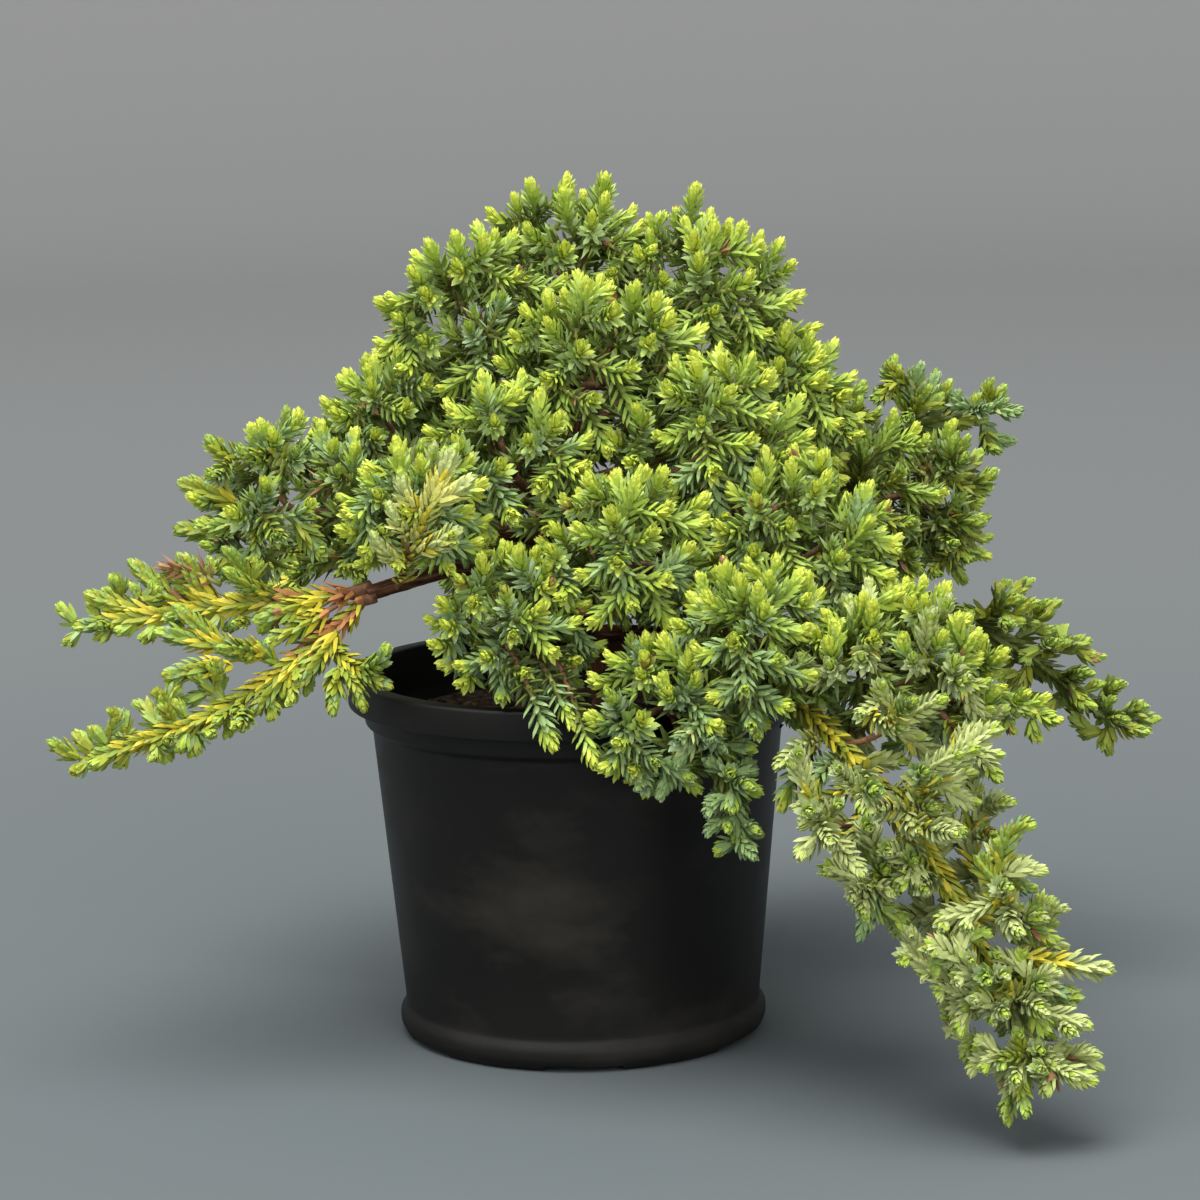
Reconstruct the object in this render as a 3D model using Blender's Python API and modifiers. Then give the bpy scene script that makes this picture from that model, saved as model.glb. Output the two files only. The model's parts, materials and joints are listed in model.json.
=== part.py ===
"""A dwarf garden juniper in a small round nursery pot.

The trunk leans out of the potting mix and runs up through the crown. Boughs
leave it at several heights, and each carries one or two masses of needled
shoots. Each mass is grown by one seeded rule inside a space of its own.

Sizes are in millimetres and are turned into metres where a mesh is made.
The origin is the middle of the pot's flat underside, +Z is up, and -Y is the
side of the plant that the drooping shoots hang on.
"""

import math

import bmesh
import bpy
import numpy as np

MM = 0.001
GAP = 0.3

# The pot, turned round the Z axis.
POT_HEIGHT = 91.0
RIM_RADIUS = 57.15
RIM_DROP = 7.5
RIM_INSIDE = 52.0
COLLAR_RADIUS = 52.6
COLLAR_FOOT = 79.0
WALL_TOP = 77.5
WALL_TOP_RADIUS = 50.8
WALL_FOOT = 8.6
WALL_FOOT_RADIUS = 44.3
BULGE_RADIUS = 45.8
BULGE_HEIGHT = 5.5
FOOT_RADIUS = 43.8
POT_WALL = 1.3
POT_FLOOR = 3.0
POT_SIDES = 32
NOTCH_COUNT = 6
NOTCH_WIDTH = 19.0
NOTCH_HEIGHT = 1.3
NOTCH_INSIDE = 34.0
DRAIN_RADIUS = 3.0
DRAIN_FROM_AXIS = 38.0

# The potting mix: flat round the trunk, a little lower at the wall.
SOIL_TOP = 80.0
SOIL_FLAT_RADIUS = 16.0
SOIL_EDGE_TOP = 76.8
SOIL_SIDES = 24

# The trunk: its foot, the bend where it leans furthest, and its tip.
TRUNK_FOOT = (8.6, -3.0)
TRUNK_LEAN = (1.5, -2.0, 106.0)
TRUNK_BEND = (-5.0, 0.5, 128.0)
TRUNK_TIP = (2.0, 11.0, 156.0)
TRUNK_FLARE = 5.4
TRUNK_FLARE_HEIGHT = 5.0
TRUNK_RADIUS = 3.9
TRUNK_TIP_RADIUS = 1.9
TRUNK_POINTS = 12

# Each bough: where up the trunk it leaves, a place it passes, its tip, and
# its radius at both ends.
BOUGH_POINTS = 6
BOUGHS = {
    "bough_left": (113.0, (-25, -13, 119), (-50, -22, 114), 2.2, 1.9),
    "bough_left_upper": (122.0, (-20, -8, 127), (-36, -13, 129), 2.0, 1.6),
    "bough_front_left": (102.0, (-1, -17, 106), (-7, -29, 107), 1.9, 1.5),
    "bough_front": (107.0, (8, -14, 112), (12, -24, 115), 2.0, 1.6),
    "bough_front_low": (90.0, (15, -24, 96), (20, -42, 95), 1.9, 1.5),
    "bough_front_right": (116.0, (20, -10, 121), (38, -22, 121), 2.0, 1.6),
    "bough_right_low": (95.0, (34, -14, 100), (61, -33, 99), 2.0, 1.7),
    "bough_right_front": (100.0, (25, -28, 103), (43, -46, 99), 2.2, 1.9),
    "bough_right": (120.0, (28, 13, 127), (58, 30, 124), 2.1, 1.7),
    "bough_right_back": (105.5, (36, 18, 108), (70, 37, 107), 2.0, 1.6),
    "bough_back_right_upper": (126.5, (24, 34, 134), (40, 50, 138), 1.9, 1.5),
    "bough_back_upper": (132.0, (2, 36, 139), (6, 54, 141), 1.9, 1.5),
    "bough_back_left_upper": (125.0, (-16, 26, 132), (-28, 42, 136), 1.9, 1.5),
    "bough_back_right": (109.0, (26, 34, 112), (46, 60, 110), 2.0, 1.6),
    "bough_back": (98.5, (4, 34, 107), (-2, 56, 106), 2.0, 1.6),
    "bough_back_left": (111.0, (-18, 28, 115), (-34, 46, 115), 1.8, 1.4),
}

# Rounded masses, each with a dense core: middle, reach, the limb that carries
# the mass, and the height up the trunk where its stem leaves (None at a tip).
CUSHIONS = {
    "crown_front": ((8, 2, 161), 25.5, "trunk", None),
    "crown_left": ((-23, 24, 172), 24.5, "trunk", 145.0),
    "crown_back": ((1, 40, 180), 27.0, "trunk", 151.0),
    "crown_right": ((33, 32, 173), 26.5, "trunk", 144.0),
    "dome_left": ((-42, 20, 145), 22.5, "trunk", 137.0),
    "dome_right": ((50, 24, 150), 22.0, "trunk", 135.0),
    "dome_front_left": ((-14, -14, 141), 22.5, "trunk", 131.0),
    "dome_front_right": ((33, -13, 146), 24.0, "trunk", 126.0),
    "dome_back": ((8, 72, 144), 27.0, "bough_back_upper", None),
    "dome_back_left": ((-38, 58, 140), 25.0, "bough_back_left_upper", None),
    "dome_back_right": ((47, 66, 141), 25.0, "bough_back_right_upper", None),
    "front_centre": ((14, -40, 123), 21.5, "bough_front", None),
    "front_right": ((54, -33, 122), 24.0, "bough_front_right", None),
    "front_left": ((-14, -43, 108), 18.5, "bough_front_left", None),
    "front_low": ((22, -61, 91), 19.0, "bough_front_low", None),
    "front_mid": ((43, -61, 105), 20.0, "bough_right_front", None),
    "right_front": ((74, -61, 96), 24.5, "bough_right_low", None),
    "left_middle": ((-69, -6, 133), 22.5, "bough_left_upper", None),
    "left_near": ((-37, -31, 133), 17.5, "bough_left_upper", None),
    "right_back": ((83, 42, 126), 23.5, "bough_right", None),
    "back_low_left": ((-17, 81, 109), 22.0, "bough_back", None),
    "back_low_right": ((33, 84, 108), 24.0, "bough_back_right", None),
}

# Open sprays: three places on the axis, half width, roll of the spray's
# plane about its axis in degrees, and the limb that carries the spray.
SPRAYS = {
    "spray_left_low": ((-56, -26, 108), (-83, -37, 90), (-115, -48, 80), 18.0, 55, "bough_left"),
    "spray_left_high": ((-59, -24, 114), (-90, -22, 111), (-119, -20, 107), 16.0, 50, "bough_left"),
    "spray_droop": ((62, -74, 84), (84, -90, 55), (100, -104, 23), 31.0, -45, "bough_right_front"),
    "spray_hang": ((28, -61, 92), (34, -69, 79), (37, -71, 65), 14.0, 20, "bough_front_low"),
    "spray_right_small": ((76, -34, 97), (90, -38, 92), (108, -40, 86), 14.0, 40, "bough_right_low"),
    "spray_right_high": ((73, 48, 138), (91, 57, 143), (106, 62, 143), 20.0, 60, "bough_right"),
    "spray_right_low": ((84, 42, 101), (110, 44, 88), (138, 46, 66), 20.0, 55, "bough_right_back"),
    "spray_back_right": ((58, 74, 106), (76, 95, 98), (93, 114, 80), 20.0, 10, "bough_back_right"),
    "spray_back": ((-4, 70, 102), (-8, 98, 95), (-13, 123, 77), 20.0, -10, "bough_back"),
    "spray_back_left": ((-44, 54, 115), (-62, 64, 110), (-84, 70, 98), 15.0, 10, "bough_back_left"),
}

# The growing rule.
TIP_AREA = 720.0
SPRAY_TIP_AREA = 130.0
WIDEST_TURN = math.radians(100)
SHORTEST_TWIG = 7.0
LONGEST_TWIG = 34.0
ROOM_MARGIN = 0.3
LOWEST_AIM = -0.55
HANGING = {"spray_left_low": 0.5, "spray_left_high": 0.6}
STEP_LENGTH = 1.0
STEM_POINTS = 12
STEM_STRAIGHT = 1.5
BARE_STEM = 0.45
BARE_SPRAY_STEM = 0.25

# The shoots: needle length, spread of the needles, spacing of the whorls and
# radius of the part that they stand out of.
ROSETTE = (8.5, math.radians(56), 6.0, 3.0)
ROPE = (7.0, math.radians(40), 6.2, 1.9)
BARE = (3.0, math.radians(40), 6.0, 1.0)
ROSETTE_LENGTH = 12.0
BUD_LENGTH = 4.4
LEAST_NEEDLES = 3
LEAST_BARE = 3.0
TWIG_SPAN = 11.0
ROOT_SPAN = 2.2
BUD_STEP = 1.2
STEM_RADIUS = 1.0
TWIG_RADIUS = 0.85
ROOT_RADIUS = 0.35
ROSETTES_APART = 9.0
ROPES_APART = 6.0

# The dense cores, drawn out into needles on some faces.
CORE_SHARE = 0.74
CORE_MARGIN = 1.3
CORE_SHRINK = 0.9
CORE_ROUNDS = 24
CORE_LUMPS = 0.12
CORE_NEEDLE = 7.5
CORE_NEEDLED = 0.34

TRUNK_SIDES = 10
BOUGH_SIDES = 6

UP = np.array([0.0, 0.0, 1.0])
GOLDEN = 0.6180339887
PLASTIC = 1.3247179572


def chance(seed, step):
    """A repeatable number from 0 to 1."""
    return math.modf(abs(math.sin(seed * 12.9898 + step * 78.233)) * 43758.5453)[0]


def unit(vector):
    """The vector at a length of 1."""
    return vector / np.linalg.norm(vector)


def between(low, high, share):
    """The value a share of the way from low to high."""
    return low + (high - low) * share


def through(places, count):
    """A smooth path of count points that passes the given places."""
    places = np.array(places, float)
    ends = np.vstack([2 * places[0] - places[1], places, 2 * places[-1] - places[-2]])
    path = []
    for share in np.linspace(0, len(places) - 1, count):
        span = min(int(share), len(places) - 2)
        t = share - span
        a, b, c, d = ends[span:span + 4]
        path.append(0.5 * (2 * b + (c - a) * t + (2 * a - 5 * b + 4 * c - d) * t * t
                           + (3 * b - a - 3 * c + d) * t ** 3))
    return np.array(path)


def bend(start, leaving, end, arriving, count):
    """A path that leaves and arrives in the given directions."""
    third = np.linalg.norm(end - start) / 3
    t = np.linspace(0, 1, count)[:, None]
    near = start + leaving * third
    far = end - arriving * third
    return ((1 - t) ** 3 * start + 3 * t * (1 - t) ** 2 * near
            + 3 * t * t * (1 - t) * far + t ** 3 * end)


def lengths(path):
    """How far along the path each of its points lies."""
    return np.concatenate([[0], np.cumsum(np.linalg.norm(np.diff(path, axis=0), axis=1))])


def evened(path, step=STEP_LENGTH):
    """The same path with points at even steps."""
    along = lengths(path)
    marks = np.linspace(0, along[-1], max(3, int(along[-1] / step) + 1))
    return np.stack([np.interp(marks, along, path[:, axis]) for axis in range(3)], axis=1)


def directions(path):
    """The direction of the path at each of its points."""
    ways = np.gradient(path, axis=0)
    return ways / np.linalg.norm(ways, axis=1)[:, None]


def at_length(path, along, mark):
    """The place and direction at a distance along the path."""
    place = np.array([np.interp(mark, along, path[:, axis]) for axis in range(3)])
    ways = directions(path)
    way = np.array([np.interp(mark, along, ways[:, axis]) for axis in range(3)])
    return place, unit(way)


class Limb:
    """A tapering limb: its path and its radius at each point."""

    def __init__(self, path, radii):
        self.path = path
        self.radii = radii

    def clearance(self, points):
        """How far each point is from the limb's surface."""
        start = self.path[:-1]
        run = np.diff(self.path, axis=0)
        offset = points[:, None, :] - start[None]
        share = np.clip((offset * run).sum(2) / (run * run).sum(1), 0, 1)
        nearest = np.linalg.norm(offset - share[..., None] * run, axis=2)
        radius = self.radii[:-1] + np.diff(self.radii) * share
        return (nearest - radius).min(axis=1)

    def at_height(self, height):
        """The place on the limb's axis at a height."""
        rising = self.path[:, 2]
        return np.array([np.interp(height, rising, self.path[:, axis]) for axis in range(3)])


def clear_start(limb, origin, way, radius):
    """Where a limb of this radius starts, GAP clear of the one it leaves."""
    side = unit(np.cross(way, UP + 0.01))
    other = np.cross(way, side)
    turns = np.linspace(0, 2 * math.pi, 12, endpoint=False)[:, None]
    ring = radius * (np.cos(turns) * side + np.sin(turns) * other)
    distance = 0.0
    while limb.clearance(origin + way * distance + ring).min() < GAP:
        distance += 0.05
    return origin + way * distance


def trunk_limb():
    """The trunk, upright at its foot, then leaning, then rising again."""
    foot = np.array([*TRUNK_FOOT, SOIL_TOP + GAP])
    collar = foot + UP * TRUNK_FLARE_HEIGHT
    path = np.vstack([foot, through([collar, TRUNK_LEAN, TRUNK_BEND, TRUNK_TIP], TRUNK_POINTS)])
    radii = np.linspace(TRUNK_RADIUS, TRUNK_TIP_RADIUS, TRUNK_POINTS)
    return Limb(path, np.concatenate([[TRUNK_FLARE], radii]))


def bough_limb(trunk, height, passing, tip, root_radius, tip_radius):
    """A bough that leaves the trunk at a height and passes one place."""
    origin = trunk.at_height(height)
    way = unit(np.array(passing, float) - origin)
    start = clear_start(trunk, origin, way, root_radius)
    return Limb(through([start, passing, tip], BOUGH_POINTS),
                np.linspace(root_radius, tip_radius, BOUGH_POINTS))


class Mass:
    """One mass of shoots, with the space it keeps to and its stem."""

    def __init__(self, name, seed):
        self.name = name
        self.seed = seed
        self.axis = None

    def centre_out(self, point):
        """The direction from the mass's middle to a point."""
        return unit(point - self.middle)


def cushion_mass(name, seed):
    """A rounded mass, kept in one ball."""
    middle, reach, limb, height = CUSHIONS[name]
    mass = Mass(name, seed)
    mass.middle = np.array(middle, float)
    mass.reach = reach
    mass.limb = limb
    mass.leaves_at = height
    mass.balls = [(mass.middle, reach)]
    return mass


def spray_mass(name, seed):
    """An open spray, kept in balls along its axis."""
    first, second, tip, width, roll, limb = SPRAYS[name]
    mass = Mass(name, seed)
    mass.axis = [np.array(place, float) for place in (first, second, tip)]
    mass.width = width
    mass.roll = math.radians(roll)
    mass.limb = limb
    mass.leaves_at = None
    axis = evened(through(mass.axis, 24))
    along = lengths(axis)
    mass.middle = axis[len(axis) // 2]
    mass.reach = width
    mass.balls = []
    count = max(3, int(round(along[-1] / width)))
    for step in range(count):
        share = (step + 0.5) / count
        place, _ = at_length(axis, along, share * along[-1])
        mass.balls.append((place, width * (1.15 - 0.25 * share)))
    return mass


class Space:
    """Says how much room a point has in its own mass, and round the limbs."""

    def __init__(self, masses, limbs):
        self.middles = np.array([ball[0] for mass in masses for ball in mass.balls])
        self.reaches = np.array([ball[1] for mass in masses for ball in mass.balls])
        self.owners = np.array([mass.name for mass in masses for _ in mass.balls])
        self.limbs = limbs
        self.stems = {}

    def room(self, points, name):
        """The distance to the nearest neighbour's space, below 0 outside."""
        offset = points[:, None, :] - self.middles[None]
        power = (offset ** 2).sum(2) - self.reaches ** 2
        own = self.owners == name
        nearest = np.argmin(np.where(own, power, np.inf), axis=1)
        own_power = power[np.arange(len(points)), nearest]
        span = np.linalg.norm(self.middles[None] - self.middles[nearest][:, None], axis=2)
        room = (power - own_power[:, None]) / (2 * np.maximum(span, 1e-6))
        return np.where(own, np.inf, room).min(axis=1)

    def limb_clearance(self, points, name):
        """The distance to the nearest limb, or stem of another mass."""
        nearest = np.full(len(points), np.inf)
        others = [stem for owner, stem in self.stems.items() if owner != name]
        for limb in list(self.limbs.values()) + others:
            nearest = np.minimum(nearest, limb.clearance(points))
        return nearest

    def fits(self, points, name, margin=ROOM_MARGIN):
        """True for each point that keeps to its space, off limbs and pot."""
        inside = pot_clear(points) & (self.room(points, name) > margin)
        return inside & (self.limb_clearance(points, name) > margin + 0.15)


def pot_clear(points):
    """True for each point that lies clear of the pot, the mix and the floor."""
    out = np.hypot(points[:, 0], points[:, 1])
    height = points[:, 2]
    wall = between(BULGE_RADIUS, COLLAR_RADIUS, np.clip(height / WALL_TOP, 0, 1))
    rim = np.where(height > POT_HEIGHT - RIM_DROP - 1, RIM_RADIUS, wall)
    above = height > POT_HEIGHT + 0.6
    beside = (out > rim + 0.6) & (height > 1.5)
    inside = (out < WALL_TOP_RADIUS - POT_WALL - 1) & (height > SOIL_TOP + 0.6)
    return above | beside | inside


def stem_goal(mass):
    """The first place that a mass's stem makes for."""
    return mass.middle if mass.axis is None else mass.axis[0]


def stem_path(mass, carrier, mates):
    """The path of a mass's stem, from GAP off its limb into the mass.

    Two stems at one tip stand side by side, each towards its own mass.
    """
    if mass.leaves_at is not None:
        origin = carrier.at_height(mass.leaves_at)
        way = unit(mass.middle - origin)
        root = clear_start(carrier, origin, way, STEM_RADIUS)
        return bend(root, way, mass.middle, unit(way + 0.3 * UP), STEM_POINTS)
    leaving = unit(carrier.path[-1] - carrier.path[-2])
    root = carrier.path[-1] + leaving * GAP
    if mates:
        apart = stem_goal(mass) - stem_goal(mates[0])
        apart = unit(apart - leaving * (apart @ leaving))
        root = root + apart * (STEM_RADIUS + GAP)
    if mass.axis is not None:
        return through([root, root + leaving * STEM_STRAIGHT] + mass.axis, 3 * STEM_POINTS)
    reach = bend(root + leaving * STEM_STRAIGHT, leaving, mass.middle,
                 unit(mass.middle - root), STEM_POINTS)
    return np.vstack([root, reach])


def aim_of(mass, tip):
    """The direction that a shoot points in at its tip."""
    out = np.array([tip[0], tip[1], 0.0])
    return unit(mass.centre_out(tip) + 0.35 * UP + 0.2 * unit(out + 0.01))


def cushion_targets(mass, area):
    """Tips spread evenly over a rounded mass, in an order that fills in."""
    count = int(2 * math.pi * mass.reach ** 2 * (1 - LOWEST_AIM) / area)
    for step in range(count):
        turn = 2 * math.pi * math.modf(0.37 * mass.seed + step / PLASTIC)[0]
        rise = 1 - (1 - LOWEST_AIM) * math.modf(0.5 + step / PLASTIC ** 2)[0]
        flat = math.sqrt(max(0.0, 1 - rise * rise))
        way = np.array([flat * math.cos(turn), flat * math.sin(turn), rise])
        tip = mass.middle + way * mass.reach * between(0.93, 1.07, chance(mass.seed, step))
        yield tip, aim_of(mass, tip)


def spray_targets(mass, area):
    """Tips to either side of a spray's axis, shorter towards its end."""
    axis = evened(through(mass.axis, 24))
    along = lengths(axis)
    count = int(along[-1] * mass.width / area)
    for step in range(count):
        share = math.modf(0.31 + 0.17 * mass.seed + step * GOLDEN)[0]
        place, way = at_length(axis, along, share * along[-1])
        level = unit(np.cross(way, UP))
        rise = np.cross(level, way)
        tilt = mass.roll + between(-0.35, 0.35, chance(mass.seed, step))
        side = 1 if step % 2 else -1
        across = side * (math.cos(tilt) * level + math.sin(tilt) * rise)
        wide = mass.width * between(0.95, 0.45, share) * between(0.8, 1.1, chance(mass.seed, step + 0.5))
        if across[2] < 0:
            wide *= HANGING.get(mass.name, 1.0)
        tip = place + across * wide * 0.75 + way * wide * 0.9
        yield tip, unit(0.8 * way + 0.45 * across + 0.25 * UP)


def grow(mass, space, targets, apart, shape):
    """The twigs of a mass, each a path from its parent to its own tip.

    A tip takes its twig from the nearest place on the stem, or on a twig
    already grown, that a shoot can reach without turning back on itself.
    """
    stem = evened(space.stems[mass.name].path)
    bare = BARE_STEM if mass.axis is None else BARE_SPRAY_STEM
    first = int(len(stem) * bare)
    knots = stem[first:]
    ways = directions(stem)[first:]
    twigs = []
    tips = [stem[-1]] if mass.axis is not None else []
    for tip, aim in targets:
        if tips and min(np.linalg.norm(tip - other) for other in tips) < apart:
            continue
        run = tip - knots
        far = np.linalg.norm(run, axis=1)
        facing = (run * ways).sum(1) / np.maximum(far, 1e-6)
        usable = (far > SHORTEST_TWIG) & (far < LONGEST_TWIG) & (facing > math.cos(WIDEST_TURN))
        if not usable.any():
            continue
        cost = np.where(usable, far * (1.6 - 0.6 * facing), np.inf)
        pick = int(np.argmin(cost))
        leaving = unit(ways[pick] + unit(run[pick]))
        path = evened(bend(knots[pick], leaving, tip, aim, 14))
        outer = path[min(3, len(path) - 3):]
        if not space.fits(outer, mass.name, ROOM_MARGIN + TWIG_RADIUS).all():
            continue
        verts, faces, kept = shape(path)
        if kept < LEAST_NEEDLES:
            continue
        twigs.append((verts, faces))
        tips.append(tip)
        half = int(len(path) * 0.55)
        knots = np.vstack([knots, path[3:half]])
        ways = np.vstack([ways, directions(path)[3:half]])
    return twigs


def carried_frame(ways):
    """A side direction for each point, turning as little as it can."""
    side = unit(np.cross(ways[0], UP + 0.017))
    sides = []
    for way in ways:
        side = unit(side - way * (side @ way))
        sides.append(side)
    return np.array(sides)


def ring_points(place, way, side, wide, ring):
    """Three corners round a shoot, turned a sixth of a circle at each ring."""
    other = np.cross(way, side)
    turns = [math.radians(120 * corner + 60 * ring) for corner in range(3)]
    return [place + wide * (math.cos(turn) * side + math.sin(turn) * other) for turn in turns]


def shoot_mesh(path, root_radius, radius, needled, style, rooted, fits):
    """A three-sided shoot whose outer part stands out in whorls of needles.

    It is lofted by hand, as each ring is turned a sixth of a circle from the
    last, and one face in two of the outer spans is drawn out into a needle.
    A ring is made slimmer, and a needle left off, where it would leave the
    mass's space.
    """
    needle, spread, spacing, core = style
    along = lengths(path)
    total = along[-1]
    needled = min(needled, total - LEAST_BARE)
    whorls = max(1, int(round(needled / spacing)))
    start = total - needled
    twig_spans = max(1, int(round(start / TWIG_SPAN)))
    marks = list(np.linspace(0, start, twig_spans + 1))
    if rooted:
        marks.insert(1, min(ROOT_SPAN, marks[1] * 0.5))
    twig_rings = len(marks)
    marks += list(np.linspace(start, total, whorls + 1)[1:])
    marks[-1] -= BUD_STEP
    places, ways = zip(*[at_length(path, along, mark) for mark in marks])
    sides = carried_frame(np.array(ways))
    verts = []
    for ring, (place, way, side) in enumerate(zip(places, ways, sides)):
        wide = root_radius if ring == 0 else radius
        if ring >= twig_rings - 1:
            share = (ring - twig_rings + 1) / whorls
            wide = core * (0.75 + share * (1.3 - 1.6 * share))
        corners = ring_points(place, way, side, wide, ring)
        while ring >= twig_rings - 1 and wide > radius and not fits(np.array(corners)).all():
            wide = max(radius, wide * 0.7)
            corners = ring_points(place, way, side, wide, ring)
        verts += corners
    faces = [(0, 2, 1)]
    kept = 0
    for ring in range(len(marks) - 1):
        low = 3 * ring
        high = low + 3
        for corner in range(3):
            after = (corner + 1) % 3
            base = (low + corner, low + after, high + corner)
            faces.append((high + corner, low + after, high + after))
            if ring < twig_rings - 1:
                faces.append(base)
                continue
            middle = np.mean([verts[index] for index in base], axis=0)
            way = ways[ring]
            out = middle - between(places[ring], places[ring + 1], 1 / 3)
            out = unit(out - way * (out @ way))
            share = (ring - twig_rings + 1) / whorls
            tilt = between(spread, spread * 0.6, share)
            tip = middle + needle * (math.cos(tilt) * way + math.sin(tilt) * out)
            if not fits(np.array([tip, (tip + middle) / 2, verts[base[2]]])).all():
                faces.append(base)
                continue
            kept += 1
            verts.append(tip)
            for edge in range(3):
                faces.append((base[edge], base[(edge + 1) % 3], len(verts) - 1))
    last = 3 * (len(marks) - 1)
    bud = places[-1] + ways[-1] * BUD_LENGTH
    if not fits(bud[None]).all():
        bud = places[-1] + ways[-1] * 0.5
    verts.append(bud)
    for corner in range(3):
        faces.append((last + corner, last + (corner + 1) % 3, len(verts) - 1))
    return np.array(verts), faces, kept


def mesh_object(name, verts, faces, collection):
    """A mesh object from corners in millimetres."""
    mesh = bpy.data.meshes.new(name)
    mesh.from_pydata([tuple(float(c) * MM for c in vert) for vert in verts], [], faces)
    mesh.update()
    thing = bpy.data.objects.new(name, mesh)
    collection.objects.link(thing)
    return thing


def core_object(mass, space, collection):
    """A lumpy core, pulled in wherever a face would leave the mass's space."""
    bm = bmesh.new()
    bmesh.ops.create_icosphere(bm, subdivisions=2, radius=1.0)
    size = mass.reach * CORE_SHARE
    for vert in bm.verts:
        vert.co *= size * between(1 - CORE_LUMPS, 1 + CORE_LUMPS, chance(mass.seed, vert.index))
    for _ in range(CORE_ROUNDS):
        tight = set()
        for face in bm.faces:
            corners = np.array([vert.co for vert in face.verts])
            spots = np.vstack([corners, (corners + np.roll(corners, 1, axis=0)) / 2,
                               corners.mean(axis=0)[None]])
            if not space.fits(mass.middle + spots, mass.name, CORE_MARGIN).all():
                tight.update(face.verts)
        for vert in tight:
            vert.co *= CORE_SHRINK
        if not tight:
            break
    for face in list(bm.faces):
        middle = np.array(face.calc_center_median())
        tip = middle + CORE_NEEDLE * unit(unit(middle) + 0.3 * UP)
        if space.fits(mass.middle + np.array([tip, (tip + middle) / 2]), mass.name).all():
            if chance(mass.seed + 0.5, face.index) < CORE_NEEDLED:
                poked = bmesh.ops.poke(bm, faces=[face])
                poked["verts"][0].co = tip
    bmesh.ops.scale(bm, vec=(MM, MM, MM), verts=bm.verts)
    bmesh.ops.translate(bm, vec=tuple(mass.middle * MM), verts=bm.verts)
    mesh = bpy.data.meshes.new(mass.name + "_core")
    bm.to_mesh(mesh)
    bm.free()
    thing = bpy.data.objects.new(mass.name + "_core", mesh)
    collection.objects.link(thing)
    return thing


def keep_largest(mesh):
    """Drops loose scraps and sealed hollows, and keeps the main body."""
    bm = bmesh.new()
    bm.from_mesh(mesh)
    bmesh.ops.remove_doubles(bm, verts=bm.verts, dist=0.0005 * MM)
    bmesh.ops.triangulate(bm, faces=bm.faces)
    left = set(bm.faces)
    bodies = []
    while left:
        front = [left.pop()]
        body = list(front)
        while front:
            face = front.pop()
            for edge in face.edges:
                for other in edge.link_faces:
                    if other in left:
                        left.remove(other)
                        front.append(other)
                        body.append(other)
        bodies.append(body)
    bodies.sort(key=len, reverse=True)
    scraps = [face for body in bodies[1:] for face in body]
    bmesh.ops.delete(bm, geom=scraps, context="FACES")
    bm.to_mesh(mesh)
    bm.free()


def closed(mesh):
    """True if each edge of the mesh joins two faces."""
    bm = bmesh.new()
    bm.from_mesh(mesh)
    whole = all(edge.is_manifold for edge in bm.edges)
    bm.free()
    return whole


def fused(name, first, helpers, collection):
    """One body made by a union of the first object with a collection."""
    join = first.modifiers.new("join", "BOOLEAN")
    join.operation = "UNION"
    join.operand_type = "COLLECTION"
    join.collection = helpers
    for solver in ("EXACT", "MANIFOLD"):
        join.solver = solver
        graph = bpy.context.evaluated_depsgraph_get()
        graph.update()
        mesh = bpy.data.meshes.new_from_object(first.evaluated_get(graph))
        keep_largest(mesh)
        if closed(mesh):
            break
        print(f"{name}: the {solver} union isn't closed")
    for thing in list(helpers.objects) + [first]:
        bpy.data.objects.remove(thing, do_unlink=True)
    mesh.name = name
    thing = bpy.data.objects.new(name, mesh)
    collection.objects.link(thing)
    return thing


def mass_object(mass, space, helpers, collection):
    """A whole mass: its stem, its twigs with their needles, and its core."""
    def fits(points):
        return space.fits(points, mass.name)

    def shape(path):
        length = lengths(path)[-1]
        if mass.axis is None:
            return shoot_mesh(path, ROOT_RADIUS, TWIG_RADIUS, min(ROSETTE_LENGTH, length * 0.7),
                              ROSETTE, True, fits)
        return shoot_mesh(path, ROOT_RADIUS, TWIG_RADIUS, length * 0.8, ROPE, True, fits)

    stem = space.stems[mass.name].path
    if mass.axis is None:
        twigs = grow(mass, space, cushion_targets(mass, TIP_AREA), ROSETTES_APART, shape)
        verts, faces, _ = shoot_mesh(stem, STEM_RADIUS, STEM_RADIUS, 5.0, BARE, False, fits)
    else:
        twigs = grow(mass, space, spray_targets(mass, SPRAY_TIP_AREA), ROPES_APART, shape)
        verts, faces, _ = shoot_mesh(stem, STEM_RADIUS, STEM_RADIUS, lengths(stem)[-1] * 0.72,
                                     ROPE, False, fits)
    first = mesh_object(mass.name + "_stem", verts, faces, collection)
    for number, (verts, faces) in enumerate(twigs):
        mesh_object(f"{mass.name}_twig_{number}", verts, faces, helpers)
    if mass.axis is None:
        core_object(mass, space, helpers)
    return fused(mass.name, first, helpers, collection), len(twigs)


def limb_object(name, limb, sides, collection):
    """A limb as a filled curve, as thick at each point as the limb is."""
    curve = bpy.data.curves.new(name, "CURVE")
    curve.dimensions = "3D"
    curve.bevel_depth = MM
    curve.bevel_resolution = sides // 2 - 2
    curve.use_fill_caps = True
    spline = curve.splines.new("POLY")
    spline.points.add(len(limb.path) - 1)
    for point, place, radius in zip(spline.points, limb.path, limb.radii):
        point.co = (*(place * MM), 1.0)
        point.radius = radius
    thing = bpy.data.objects.new(name, curve)
    collection.objects.link(thing)
    return thing


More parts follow.
